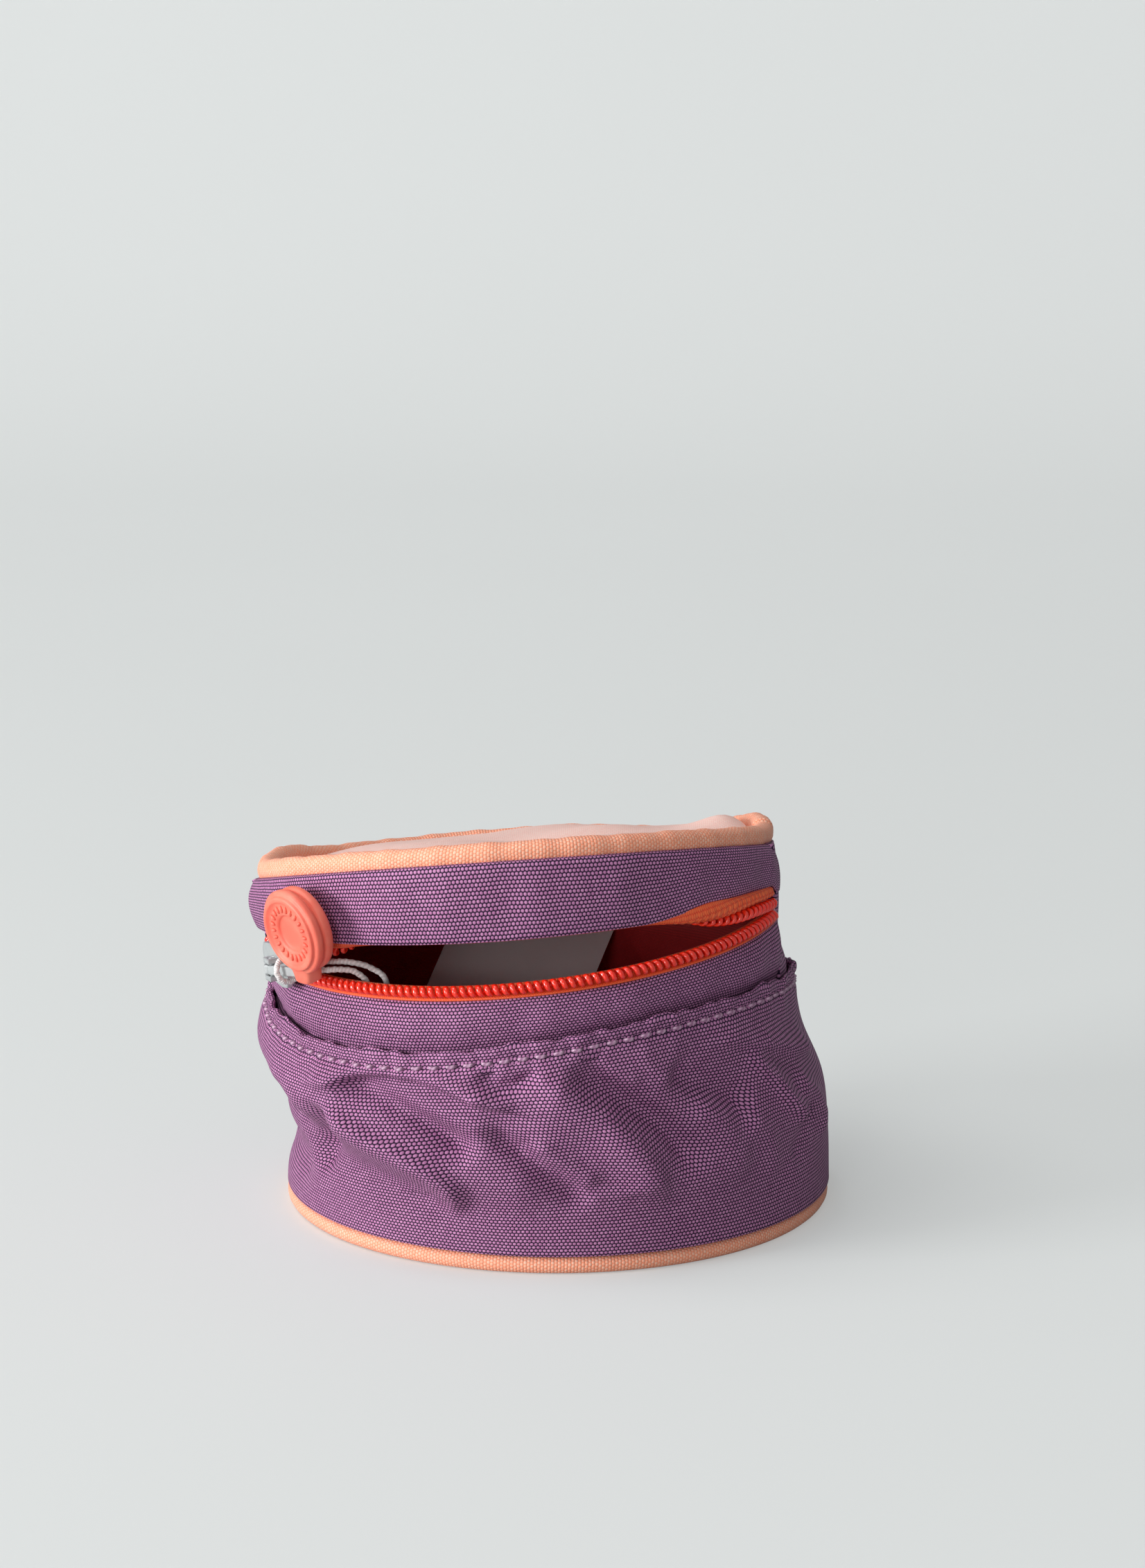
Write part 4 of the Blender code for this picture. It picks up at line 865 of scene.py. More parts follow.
def rimPlaces(name):
    places = np.array(route[name])
    return zipPoint(np.radians(places[:, 0]), places[:, 1] * mm, places[:, 2] * mm)


stretches["stem"][:, 1] += stemCrank * stretches["stem"][:, 0] / stemLength
stringRoute = np.vstack([
    inFrame(cardFrame, stretches["cardIn"]), stretches["insideIn"], rimPlaces("rimIn"),
    inFrame(linkFrame, stretches["stem"]), rimPlaces("rimOut"), stretches["insideOut"],
    inFrame(cardFrame, stretches["cardOut"])])
stringLook = {"radius": 0.55 * mm, "lay": 2.3 * mm, "around": 12, "steps": 8, "core": 0.70, "fall": 0.8}


def twistedCord(name, path, look):
    # two plies: the radius swells twice a turn, and the swelling turns once for each lay along the path
    first, second = carriedWays(path)
    way = runLength(path)
    turn = turns(look["around"])[None, :]
    ply = turn - (way / look["lay"] * fullTurn)[:, None]
    reach = look["radius"] * (look["core"] + (1 - look["core"]) * np.abs(np.cos(ply)) ** look["fall"])
    points = ringed(path, first, second, reach * np.cos(turn), reach * np.sin(turn))
    return sweptPiece(name, points, False, float(way[-1]), fullTurn * look["radius"]), float(way[-1])


stringPath = smoothCurve(stringRoute, stringLook["steps"])
tagCord, cordLength = twistedCord("tagCord", stringPath, stringLook)
dress(tagCord, cottonString, None, ["tag_string"])
print("string length", round(cordLength, 4))

knotLook = {"size": 0.46 * mm, "deep": 1.3, "thread": 0.5 * mm, "bead": 2.0 * mm, "off": 0.9 * mm,
            "steps": 60, "around": 8, "long": 0.03, "girth": 0.0034}


def knotPiece():
    # the string's ends tied: a trefoil line, a sine and a double sine each way, inside the bead's place
    t = turns(knotLook["steps"])
    deep = -knotLook["deep"] * np.sin(3 * t)
    line = stack(np.sin(t) + 2 * np.sin(2 * t), np.cos(t) - 2 * np.cos(2 * t), deep)
    middle = cardMiddle - (knotLook["bead"] + knotLook["off"] + card["half"]) * cardFrame[3]
    line = inFrame((middle,) + cardFrame[1:], line * knotLook["size"])
    tangent = unit(np.roll(line, -1, axis=0) - np.roll(line, 1, axis=0))
    first = acrossOf(line - middle, tangent)
    thread, turn = knotLook["thread"], turns(knotLook["around"])
    points = ringed(line, first, np.cross(tangent, first), thread * np.cos(turn), thread * np.sin(turn))
    return sweptPiece("cordKnot", points, True, knotLook["long"], knotLook["girth"])


cordKnot = dress(knotPiece(), cottonString, "pouch", ["tag_knot"])
# the card, its pink tint partly painted bounce light from the lining
dressSolid("tag_card", tagPaperWithPaintedBounce)
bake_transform(tagCord)


# the wall, its hem and the topstitching

print("wall")
wallLook = {"columns": 480, "rows": 74, "sheet": 0.38 * mm, "lip": 0.45 * mm, "tuckIn": 1.0 * mm,
            "tuckDown": 0.35 * mm, "tuckHigh": 1.0 * mm, "around": fullTurn * 47.5 * mm, "thread": 0.7 * mm,
            "lipBends": [22, 45, 67, 90, 112, 135, 157, 180], "lipStep": 0.18 * mm,
            "hemDepths": [0.6, 1.4, 2.6, 4.0], "hemStep": 1.0 * mm, "hemGap": 0.12 * mm,
            "lipWaves": [(11, 0.4, 0.22 * mm), (23, 1.0, 0.22 * mm), (57, 0.3, 0.16 * mm),
                         (97, 2.0, 0.12 * mm)]}
hem = {"proud": 0.30 * mm, "width": 1.5 * mm,
       "waves": [(17, 0.4, 0.14 * mm), (41, 1.9, 0.10 * mm), (73, 0.2, 0.08 * mm), (131, 2.6, 0.05 * mm)]}
seam = {"below": 2.1 * mm, "radius": 46.6 * mm, "pitch": 3.03 * mm, "length": 1.75 * mm, "thread": 0.34 * mm,
        "bow": 0.36 * mm, "sunk": 0.06 * mm, "slant": 0.05 / 36, "stray": 0.03 / 36, "girth": 0.0017,
        "steps": 7, "around": 6, "strayTurn": 2.4, "arch": 2.6, "taper": 0.35, "taperPower": 3,
        "drawn": 0.30 * mm, "hole": 0.45 * mm, "width": 0.75 * mm, "pucker": 0.10 * mm,
        "aboveBy": 3.0 * mm, "aboveWidth": 2.6 * mm, "belowBy": 1.6 * mm, "belowShare": 0.5,
        "puckerWaves": [(49, 0.4, 1.0), (37, 1.3, 1.2), (67, 0.2, 0.8)]}
stitchCount = int(round(fullTurn * seam["radius"] / seam["pitch"]))


def belowTop(angle, share):
    return (1 - share) * (foldTop(angle) - pouch["bottom"])


def seamShare(angle):
    return 1 - seam["below"] / (foldTop(angle) - pouch["bottom"])


def stitchDimple(angle, share):
    # the seam draws the cloth in along its line, most at each needle hole, and puckers it on both sides
    below = belowTop(angle, share) - seam["below"]
    holes = 0.5 + 0.5 * np.cos(angle * stitchCount)
    beside = bell(below + seam["aboveBy"], seam["aboveWidth"])
    beside = beside + seam["belowShare"] * bell(below - seam["belowBy"], seam["belowBy"])
    puckers = seam["pucker"] * ripple(angle / fullTurn, seam["puckerWaves"]) * beside
    return puckers - (seam["drawn"] + seam["hole"] * holes) * bell(below, seam["width"])


def hemSwell(angle, share):
    # the doubled hem stands a little proud, with ripples round it, and falls off down from the edge
    reach = hem["proud"] + ripple(angle / fullTurn, hem["waves"])
    return bell(belowTop(angle, share), hem["width"]) * reach


def wallFace(angle, share, bow=0.0):
    return wallPoint(angle, share, -stitchDimple(angle, share) - hemSwell(angle, share) - bow, True)


def wallCloth():
    # one sheet from under the piping up the outside, over the hem's round edge and down inside
    turn = turns(wallLook["columns"]) + math.pi / 2
    shares = np.linspace(0, 1, wallLook["rows"])
    outer = wallFace(*np.meshgrid(turn, shares))
    rows = [wallPoint(turn, 0.0, wallLook["tuckIn"], True) - np.array([0, 0, wallLook["tuckDown"]])]
    rows += list(outer)
    high = [-wallLook["tuckHigh"]] + list(shares * wallHeight)
    lip = wallLook["lip"]
    wave = ripple(turn / fullTurn, wallLook["lipWaves"])
    for bend in np.radians(wallLook["lipBends"]):
        rise = stack(0, 0, (lip + wave) * math.sin(bend))
        rows.append(outer[-1] - outward(turn) * lip * (1 - math.cos(bend)) + rise)
        high.append(high[-1] + wallLook["lipStep"])
    for depth in wallLook["hemDepths"]:
        rows.append(wallPoint(turn, 1 - depth * mm / wallHeight, 2 * lip - wallLook["hemGap"]))
        high.append(high[-1] + wallLook["hemStep"])
    long = round(wallLook["around"] / wallLook["thread"]) * wallLook["thread"]
    return clothSheet("wallCloth", rows, high, True, wallLook["sheet"], long)


dress(wallCloth(), purpleCanvas, "pouch", ["body_wall"])


def topstitching():
    # each stitch: a short thread that rises out of one needle hole and dives into the next
    middle = (np.arange(stitchCount) + 0.5) * fullTurn / stitchCount
    t = np.linspace(-1, 1, seam["steps"])[None, :]
    slant = np.sin(np.arange(stitchCount) * seam["strayTurn"])[:, None]
    angle = middle[:, None] + t * seam["length"] / 2 / seam["radius"]
    share = seamShare(angle) + seam["slant"] * slant * t + seam["stray"] * slant
    line = wallFace(angle, share, (1 - np.abs(t) ** seam["arch"]) * seam["bow"] - seam["sunk"])
    along = unit(np.gradient(line, axis=1))
    out = acrossOf(outward(angle), along)
    turn = turns(seam["around"])
    thick = seam["thread"] * (1 - seam["taper"] * np.abs(t) ** seam["taperPower"])[..., None]
    points = ringed(line, out, np.cross(along, out), thick * np.cos(turn), thick * np.sin(turn))
    return sweptPiece("topstitching", points, False, seam["length"], seam["girth"])


dress(topstitching(), lavenderThread, "pouch")


# base

print("base")
basePipingLook = {"square": 2.6, "steps": 360, "around": 18, "widest": 1.53 * mm, "tallest": 3.05 * mm,
                  "waves": [(29, 0.5, 1.0), (67, 1.5, 0.6)], "wander": 0.03, "rows": 0.56 * mm,
                  "long": fullTurn * 47 * mm, "girth": 0.0098}


def wholeRows(length, row):
    return round(length / row) * row


def basePipingPiece():
    # canvas rolled round the foot: an almost square round section that wanders a little
    look, thick = basePipingLook, pouch["pipingRadius"]
    turn, part = turns(look["steps"]), turns(look["around"])
    reach = thick * (1 + look["wander"] * ripple(turn / fullTurn, look["waves"]))
    wide = np.minimum(reach[:, None] * squared(part, look["square"])[None, :], look["widest"])
    line = outward(turn) * (pouch["baseRadius"] - thick)
    tall = np.clip(thick + wide * np.sin(part), 0, look["tallest"])
    points = ringed(line, outward(turn), upright, wide * np.cos(part), tall)
    return sweptPiece("basePiping", points, True, wholeRows(look["long"], look["rows"]), look["girth"])


dress(basePipingPiece(), peachCanvas, "pouch", ["base_piping"])


panelLook = {"first": 0.02, "above": 14, "below": 6, "foot": 0.98, "columns": 120, "sharp": 50}


def roundPanel(name, radius, low, thickness, finish, stands):
    # a flat disc of cloth, with its edge half way up
    look = panelLook
    top = np.linspace(look["first"], 1, look["above"])
    under = np.linspace(look["foot"], look["first"], look["below"])
    part = np.concatenate([top, [1.0], under])
    height = np.repeat([low + thickness, low + thickness / 2, low], [len(top), 1, len(under)])
    points = outward(turns(look["columns"])) * (radius * part)[:, None, None] + stack(0, 0, height[:, None])
    return dress(closedDisc(name, points, look["sharp"]), finish, "pouch", stands)


innerBase = pouch["baseRadius"] - 2 * pouch["pipingRadius"] - pouch["gap"]
roundPanel("basePanel", innerBase, 0.0, 0.9 * mm, peachCanvas, ["base_panel"])
roundPanel("liningFloor", innerBase - 0.6 * mm, 2.7 * mm, 0.5 * mm, redLining, ["lining_base"])
dressSolid("base_stiffener", greyBoard)


# bands and lining

print("bands and lining")
bandLook = {"columns": 260, "tuck": 4.0 * mm, "soft": 2.0 * mm, "fall": 0.8,
            "waves": [(9, 0.3, 0.30 * mm), (21, 1.2, 0.16 * mm), (38, 2.2, 0.08 * mm)]}
lowerBandLook = {"ends": 0.2, "behind": 0.5 * mm, "belly": 0.75 * mm, "drawn": 0.6 * mm, "from": 0.6,
                 "tall": 8.5 * mm, "rows": 15, "sheet": 0.7 * mm}


def lowerBandPiece():
    # from behind the hem up to the zip, straight but for a soft belly and slow waves
    look = lowerBandLook
    turn = arcOf(lid["seamLeft"] + look["ends"], lid["seamRight"] - look["ends"], bandLook["columns"])
    rows = [wallPoint(turn, 1 - bandLook["tuck"] / wallHeight, wallInside + look["behind"])]
    high = [-bandLook["tuck"]]
    waves = ripple(np.degrees(turn) / 360, bandLook["waves"])
    for share in np.linspace(1, 0, look["rows"]):
        belly = (look["belly"] + waves) * math.sin(math.pi * share) ** bandLook["fall"]
        belly = belly - look["drawn"] * max(0.0, share - look["from"]) / (1 - look["from"])
        rows.append(gussetPoint(turn, share, 0.0) + outward(turn) * belly[:, None])
        high.append((1 - share) * look["tall"])
    return clothSheet("lowerBand", rows, high, False, look["sheet"])


# the lid's tape and band are rolled out at the right end of the opening
rollOut = {"start": 297.0, "rise": 20.0, "end": 344.0, "fall": 4.0, "across": 1.5, "out": 0.5}

upperBandLook = {"start": 0.3, "past": 1.6, "inset": 0.5 * mm, "belly": 0.6 * mm, "tall": 10.5 * mm,
                 "rows": 19, "leftFull": 2.1 * mm, "leftEnd": 214, "leftFall": 30, "leftPower": 3,
                 "rightFull": 0.8 * mm, "rightStart": 330, "rightRise": 12, "rightPower": 4,
                 "hemInset": 1.2 * mm, "hemRise": 0.35 * mm, "hemHigh": 11.3 * mm, "sheet": 0.6 * mm}


def upperBandPiece():
    # from the lifted zip's upper edge to the lid's rim, with a fuller belly, fullest at the left end
    look = upperBandLook
    turn = arcOf(lid["seamLeft"] + look["start"], lid["seamRight"] + look["past"], bandLook["columns"])
    degrees = np.degrees(turn)
    edge = zipLine["bandEdge"] + rollOut["across"] * mm * risen(degrees, rollOut)
    foot = lifted(zipPoint(turn, edge, -zipLine["bandFace"]))
    top = lidRing(turn, look["inset"], 0.0, bandLook["soft"])
    leftFull = look["leftFull"] * ease((look["leftEnd"] - degrees) / look["leftFall"])
    rightFull = look["rightFull"] * ease((degrees - look["rightStart"]) / look["rightRise"])
    waves = ripple(degrees / 360, bandLook["waves"])
    rows, high = [], []
    for share in np.linspace(0, 1, look["rows"]):
        belly = (look["belly"] + waves) * math.sin(math.pi * share) ** bandLook["fall"]
        belly = belly + leftFull * (1 - share ** look["leftPower"])
        belly = belly + rightFull * (1 - share ** look["rightPower"])
        rows.append(foot + (top - foot) * share + outward(turn) * belly[:, None])
        high.append(share * look["tall"])
    rows.append(lidRing(turn, look["hemInset"], look["hemRise"], bandLook["soft"]))
    return clothSheet("upperBand", rows, high + [look["hemHigh"]], False, look["sheet"])


backPanelLook = {"ends": 0.2, "belly": 0.2 * mm, "drift": 0.05, "rows": 26, "tall": 20.0 * mm,
                 "start": 0, "rise": 11, "end": 75, "fall": 50, "inwards": 1.7 * mm, "inwardsBy": 0.3,
                 "outAgain": 0.7 * mm, "outFrom": 0.6, "hemInset": 1.6 * mm, "hemRise": 0.5 * mm,
                 "hemHigh": 20.8 * mm, "sheet": 0.7 * mm,
                 "waves": [(7, 0.9, 0.35 * mm), (16, 0.1, 0.22 * mm), (31, 2.0, 0.1 * mm)]}


def backPanelPiece():
    # one panel behind the zip, from inside the fold to the lid's rim, bulging a little; it lies further in
    # just behind the right seam
    look = backPanelLook
    right = lid["seamRight"] - 360
    turn = arcOf(right + look["ends"], lid["seamLeft"] - look["ends"], bandLook["columns"])
    foot = wallPoint(turn, 1.0, wallInside)
    top = lidRing(turn, 0.0, 0.0, bandLook["soft"])
    near = risen(np.degrees(turn) - right, look)
    rows = [wallPoint(turn, 1 - bandLook["tuck"] / wallHeight, wallInside)]
    high = [-bandLook["tuck"]]
    for share in np.linspace(0, 1, look["rows"]):
        belly = look["belly"] + ripple(np.degrees(turn) / 360 + look["drift"] * share, look["waves"])
        outAgain = look["outAgain"] * ease((share - look["outFrom"]) / (1 - look["outFrom"]))
        inwards = look["inwards"] * ease(share / look["inwardsBy"]) - outAgain
        swell = belly * math.sin(math.pi * share) - near * inwards
        rows.append(foot + (top - foot) * share + outward(turn) * swell[:, None])
        high.append(share * look["tall"])
    rows.append(lidRing(turn, look["hemInset"], look["hemRise"], bandLook["soft"]))
    return clothSheet("backPanel", rows, high + [look["hemHigh"]], False, look["sheet"])


dress(lowerBandPiece(), purpleCanvas, "pouch", ["lower_zip_band"])
bendAtHinge(dress(upperBandPiece(), purpleCanvas, None, ["upper_band"]))
dress(backPanelPiece(), purpleCanvas, "pouch", ["back_panel"])

liningLook = {"columns": 240, "rows": 22, "lowest": 0.04, "inset": 1.9 * mm, "hang": 0.3 * mm,
              "tall": 37 * mm, "waves": [(13, 0.2, 0.25 * mm), (31, 1.1, 0.15 * mm)],
              "edgeShare": 0.4, "edgeHigh": 42 * mm,
              "backInset": 4.0 * mm, "frontLess": 2.1 * mm, "backMiddle": 82, "backHalf": 92, "blend": 6,
              "sheet": 0.4 * mm}


def liningPiece():
    # the lining hangs inside the wall, with soft upright wrinkles; its top edge lies further in at the back
    look = liningLook
    turn = turns(look["columns"]) + math.pi / 2
    waves = ripple(turn / fullTurn, look["waves"])
    rows, high = [], []
    for share in np.linspace(look["lowest"], 1, look["rows"]):
        wrinkle = np.abs(waves * math.sin(math.pi * share))
        rows.append(wallPoint(turn, share, wallInside + look["inset"] + look["hang"] + wrinkle, True))
        high.append(share * look["tall"])
    fromBack = np.abs((np.degrees(turn) - look["backMiddle"] + 180) % 360 - 180)
    front = ease((fromBack - look["backHalf"]) / look["blend"])
    rows.append(gussetPoint(turn, look["edgeShare"], look["backInset"] - look["frontLess"] * front))
    return clothSheet("liningWall", rows, high + [look["edgeHigh"]], True, look["sheet"])


dress(liningPiece(), redLining, "pouch", ["lining_wall"])


# the zip: tapes and coils

print("zip")
curl = {"turn": 165.0, "start": 213.0, "rise": 24.0, "end": 333.0, "fall": 37.0, "across": 2.6, "out": -1.75,
        "lift": 1.1, "back": 0.5}


def curled(angle, across, out, share):
    # where it is open, the lid's zip turns in and up about the band's edge; across and out are millimetres
    part = risen(np.degrees(angle), curl)
    turn = math.radians(curl["turn"]) * part * share
    down, away = across - curl["across"], out - curl["out"]
    return (curl["across"] + curl["lift"] * part + down * np.cos(turn) - away * np.sin(turn),
            curl["out"] - curl["back"] * part + down * np.sin(turn) + away * np.cos(turn))


tapeLook = {"columns": 430, "lowerEnds": 3.0, "upperEnd": 2.5, "behind": 1.1 * mm, "rib": 0.13,
            "ribbed": range(4, 7), "lipFrom": 2.0, "lipWidth": 0.8, "sheet": 0.35 * mm, "measured": 60,
            "bandShares": [0.2, 0.5], "gussetShares": [0.65, 0.2], "unroll": 3,
            "profile": [(0.4, -1.4), (1.2, -1.45), (1.85, -1.3), (2.06, -0.7), (2.15, -0.2), (2.35, 0.05),
                        (2.6, -0.15), (2.85, -0.75), (3.3, -1.25)]}


def lowerTapePiece():
    # tape behind the coil that rolls out as a narrow lip beside it, and goes down behind the band
    look = tapeLook
    turn = arcOf(zipLine["start"] - look["lowerEnds"], zipLine["end"] + look["lowerEnds"], look["columns"])
    rows = [gussetPoint(turn, share, look["behind"]) for share in look["gussetShares"]]
    rows += [zipPoint(turn, -across * mm, out * mm) for across, out in look["profile"][::-1]]
    high = runLength(np.array(rows)[:, look["measured"]])
    return clothSheet("lowerTape", rows, high, False, look["sheet"])


def upperTapePiece():
    # the same lip curled with the lid's edge, ribbed where it is rolled out, going up behind the band
    look = tapeLook
    turn = arcOf(zipLine["start"], zipLine["end"] + look["upperEnd"], look["columns"])
    rolled = risen(np.degrees(turn), rollOut)
    rib = look["rib"] * rolled * np.cos(turn * zipLine["radius"] / zipLine["pitch"] * fullTurn)
    last = len(look["profile"]) - 1
    rows = []
    for k, (across, out) in enumerate(look["profile"]):
        across = across + rollOut["across"] * rolled * ease((across - look["lipFrom"]) / look["lipWidth"])
        if k in look["ribbed"]:
            out = out + (rib + rollOut["out"] * rolled)
        across, out = curled(turn, across, out, 1 - (k / last) ** look["unroll"])
        rows.append(zipPoint(turn, across * mm, out * mm) + chainShift(turn))
    edge = lifted(zipPoint(turn, zipLine["bandEdge"], -zipLine["bandFace"] - look["behind"]))
    rows += [edge + (lidRing(turn, look["behind"], 0.0) - edge) * share for share in look["bandShares"]]
    high = runLength(np.array(rows)[:, look["measured"]])
    return clothSheet("upperTape", rows, high, False, look["sheet"])


coilLook = {"points": 14, "around": 7, "middle": 1.05, "halfTall": 0.56, "halfOut": 0.72, "head": 0.30,
            "wide": 0.50, "headWide": 0.06, "thick": 0.36, "long": 0.3, "girth": 0.0027}


def coilPiece(name, upper):
    # a monofilament wound round an oval: one turn for each tooth, flattened, its heads reaching to the middle
    look, side = coilLook, 1 if upper else -1
    span = zipLine["end"] - zipLine["start"]
    teeth = int(round(math.radians(span) * zipLine["radius"] / zipLine["pitch"]))
    phase = np.arange(teeth * look["points"] + 1) / look["points"]
    turn = fullTurn * (phase + (0.5 if upper else 0.0))
    angle = np.radians(zipLine["start"] + span * phase / teeth)
    head = np.clip(np.cos(turn), 0, 1) ** 2
    across = look["middle"] - look["halfTall"] * np.cos(turn) - look["head"] * head
    out = look["halfOut"] * np.sin(turn)
    aheadUp, aheadOut = -np.cos(turn) * look["halfOut"], np.sin(turn) * look["halfTall"]
    if upper:
        across, out = curled(angle, across, out, 1.0)
        zeroUp, zeroOut = curled(angle, 0.0, 0.0, 1.0)
        aheadUp, aheadOut = curled(angle, aheadUp, aheadOut, 1.0)
        aheadUp, aheadOut = aheadUp - zeroUp, aheadOut - zeroOut
    line = zipPoint(angle, side * across * mm, out * mm) + (chainShift(angle) if upper else 0.0)
    upWay = unit(np.stack([side * aheadUp, aheadOut], axis=1))
    away = upWay[:, :1] * zipNormal + upWay[:, 1:] * zipRay(angle)
    alongWay = np.cross(zipNormal, zipRay(angle))
    part = turns(look["around"])
    wide = (look["wide"] + look["headWide"] * head)[:, None] * mm * np.cos(part)[None, :]
    thick = look["thick"] * mm * np.sin(part)[None, :]
    grid = ringed(line, alongWay, away, wide, thick)
    return sweptPiece(name, grid, False, look["long"], look["girth"])


dress(lowerTapePiece(), redTape, "pouch", ["lower_zip_tape"])
bendAtHinge(dress(upperTapePiece(), redTape, None, ["upper_zip_tape"]))
dress(coilPiece("lowerCoilWire", False), coilNylon, "pouch", ["lower_coil"])
bendAtHinge(dress(coilPiece("upperCoilWire", True), coilNylon, None, ["upper_coil"]))


# the lid

print("lid")
lidLook = {"softBend": 3.0 * mm, "rings": 34, "columns": 200, "under": 0.9 * mm, "proud": 0.5 * mm,
           "margin": 0.1 * mm, "first": 0.015, "crownFall": 2.4, "crownPower": 0.55, "creaseShare": 0.3,
           "creaseWidth": 7 * mm, "waves": [(0.35, 0.4, 6.5, 0.0), (0.25, -0.9, 4.6, 1.0)],
           "bump": (31, 7, 6.5, 10, 2.6), "dip": (18, 18, 6, 14, 0.7), "hollow": (-44, -2, 9, 16, 2.0),
           "waveEdge": 4, "bumpEdge": 18, "dipEdge": 8}


def lidRings(radius, rings, columns, first):
    # rings from the lid's middle out: each one's share of the radius, with its x and y
    turn, part = turns(columns), np.linspace(first, 1, rings)[:, None]
    return part, lid["centre"] + radius * part * np.cos(turn), radius * part * np.sin(turn)


def mound(x, y, shape):
    # a rise at a place that falls off with the squares of the ways off over its widths, in millimetres
    left, near, wide, deep, tall = shape
    squares = ((x - left * mm) / (wide * mm)) ** 2 + ((y - near * mm) / (deep * mm)) ** 2
    return tall * mm * np.exp(-squares)


def lidTopPiece():
    # a padded disc: the crown falls to the rim and is lower along the crease, with slow waves, a bump
    # and two dips added
    look = lidLook
    radius = lid["radius"] - lid["pipingInset"] - 2 * lid["pipingRadius"] - look["margin"]
    part, x, y = lidRings(radius, look["rings"], look["columns"], look["first"])
    back, least = behindCrease(x, y), look["creaseShare"]
    crown = (1 - part ** look["crownFall"]) ** look["crownPower"]
    crown = crown * (least + (1 - least) * back ** 2 / (back ** 2 + look["creaseWidth"] ** 2))
    plane = lidPlane(x, y, look["softBend"]) + lid["pipingHeight"]
    wave = sum(size * np.sin((x + lean * y) / mm / long + phase) for size, lean, long, phase in look["waves"])
    height = plane + look["proud"] + lid["puff"] * crown + mm * wave * (1 - part ** look["waveEdge"])
    height = height + mound(x, y, look["bump"]) * (1 - part ** look["bumpEdge"])
    height = height - mound(x, y, look["dip"]) * (1 - part ** look["dipEdge"]) - mound(x, y, look["hollow"])
    sides = [stack(x, y, height), stack(x, y, plane - look["under"])[::-1]]
    return closedDisc("lidTop", np.concatenate(sides))


# the lid's top in the paler peach, whose paleness is a painted reflection
lidTop = dress(lidTopPiece(), peachWithPaintedGlare, None, ["lid_panel_front", "lid_panel_back"])
bendAtHinge(lidTop)

lidPipingLook = {"steps": 480, "around": 22, "wide": 1.85 * mm, "tall": 2.0 * mm, "square": 2.3,
                 "raised": [(12, 13, 1.3), (163, 16, 1.5), (50, 18, -1.4)],
                 "puckers": [(33, 0.3, 0.035), (61, 2.0, 0.025), (14, 1.0, 0.03)],
                 "long": fullTurn * 43.7 * mm, "rows": 0.56 * mm, "girth": 0.0126}


def lidPipingPiece():
    # canvas rolled round the rim: a tall soft oval whose size ripples a little, raised and lowered in places
    look = lidPipingLook
    turn, part = turns(look["steps"]), turns(look["around"])
    raised = sum(tall * mm * bell(np.degrees(turn) - place, width) for place, width, tall in look["raised"])
    inset = lid["pipingInset"] + lid["pipingRadius"]
    middle = lidRing(turn, inset, lid["pipingHeight"] + raised, lidLook["softBend"])
    reach = (1 + ripple(turn / fullTurn, look["puckers"]))[:, None] * squared(part, look["square"])[None, :]
    wide, tall = reach * look["wide"] * np.cos(part), reach * look["tall"] * np.sin(part)
    points = ringed(middle, outward(turn), upright, wide, tall)
    return sweptPiece("lidPiping", points, True, wholeRows(look["long"], look["rows"]), look["girth"])


bendAtHinge(dress(lidPipingPiece(), peachCanvas, None, ["lid_piping_front", "lid_piping_back"]))

lidLiningLook = {"inset": 3.6 * mm, "columns": 160, "rings": 20, "first": 0.02, "below": 0.5 * mm,
                 "wrinkle": 0.15 * mm, "long": 3.0, "deep": 4.0, "top": 0.2 * mm, "foot": 0.3 * mm}


def lidLiningPiece():
    # a thin disc of lining under the panel, with slow wrinkles
    look = lidLiningLook
    _, x, y = lidRings(lid["radius"] - look["inset"], look["rings"], look["columns"], look["first"])
    wrinkle = look["wrinkle"] * np.sin(x / mm / look["long"]) * np.sin(y / mm / look["deep"])
    height = lidPlane(x, y, lidLook["softBend"]) - look["below"] + wrinkle
    sides = [stack(x, y, height + look["top"]), stack(x, y, height - look["foot"])[::-1]]
    return closedDisc("lidLining", np.concatenate(sides))


bendAtHinge(dress(lidLiningPiece(), redLining, None, ["lid_lining_front", "lid_lining_back"]))


# the slider and its rubber pull

print("slider and pull")
for node in ("slider_body", "pull_pin", "pull_link"):
    dressSolid(node, satinZinc)

gripLook = {"radius": 7.6 * mm, "thickness": 4.8 * mm, "least": 0.004, "steps": 72, "long": 0.02,
            "girth": 0.05,
            "section": [(0.0, -0.5), (0.80, -0.5), (0.90, -0.46), (0.97, -0.36), (0.98, -0.2), (0.96, -0.1),
                        (0.89, -0.05), (0.89, 0.03), (0.97, 0.06), (1.0, 0.12), (1.0, 0.28), (0.96, 0.35),
                        (0.88, 0.37), (0.88, 0.46), (0.85, 0.5), (0.77, 0.5), (0.73, 0.40), (0.44, 0.40),
                        (0.41, 0.30), (0.37, 0.27), (0.0, 0.27)]}
neckLook = {"wide": 2.0 * mm, "deep": 1.75 * mm, "square": 5, "below": 1.8 * mm, "root": 0.6, "around": 24,
            "shares": [0.0, 0.03, 0.1, 0.3, 0.55, 0.8, 1.0], "widths": [0.72, 0.9, 1.0, 1.12, 1.35, 1.7, 2.0],
            "depths": [0.72, 0.92, 1.0, 1.0, 1.02, 1.05, 1.05], "long": 0.01, "girth": 0.014}
barLook = {"count": 22, "around": 10, "ring": 0.585, "long": 0.72 * mm, "wide": 0.34 * mm, "tall": 0.45 * mm,
           "face": 0.40, "sunk": 0.05 * mm, "levels": [0.0, 0.6, 1.0], "sizes": [1.0, 0.85, 0.35],
           "run": 0.001, "girth": 0.002}


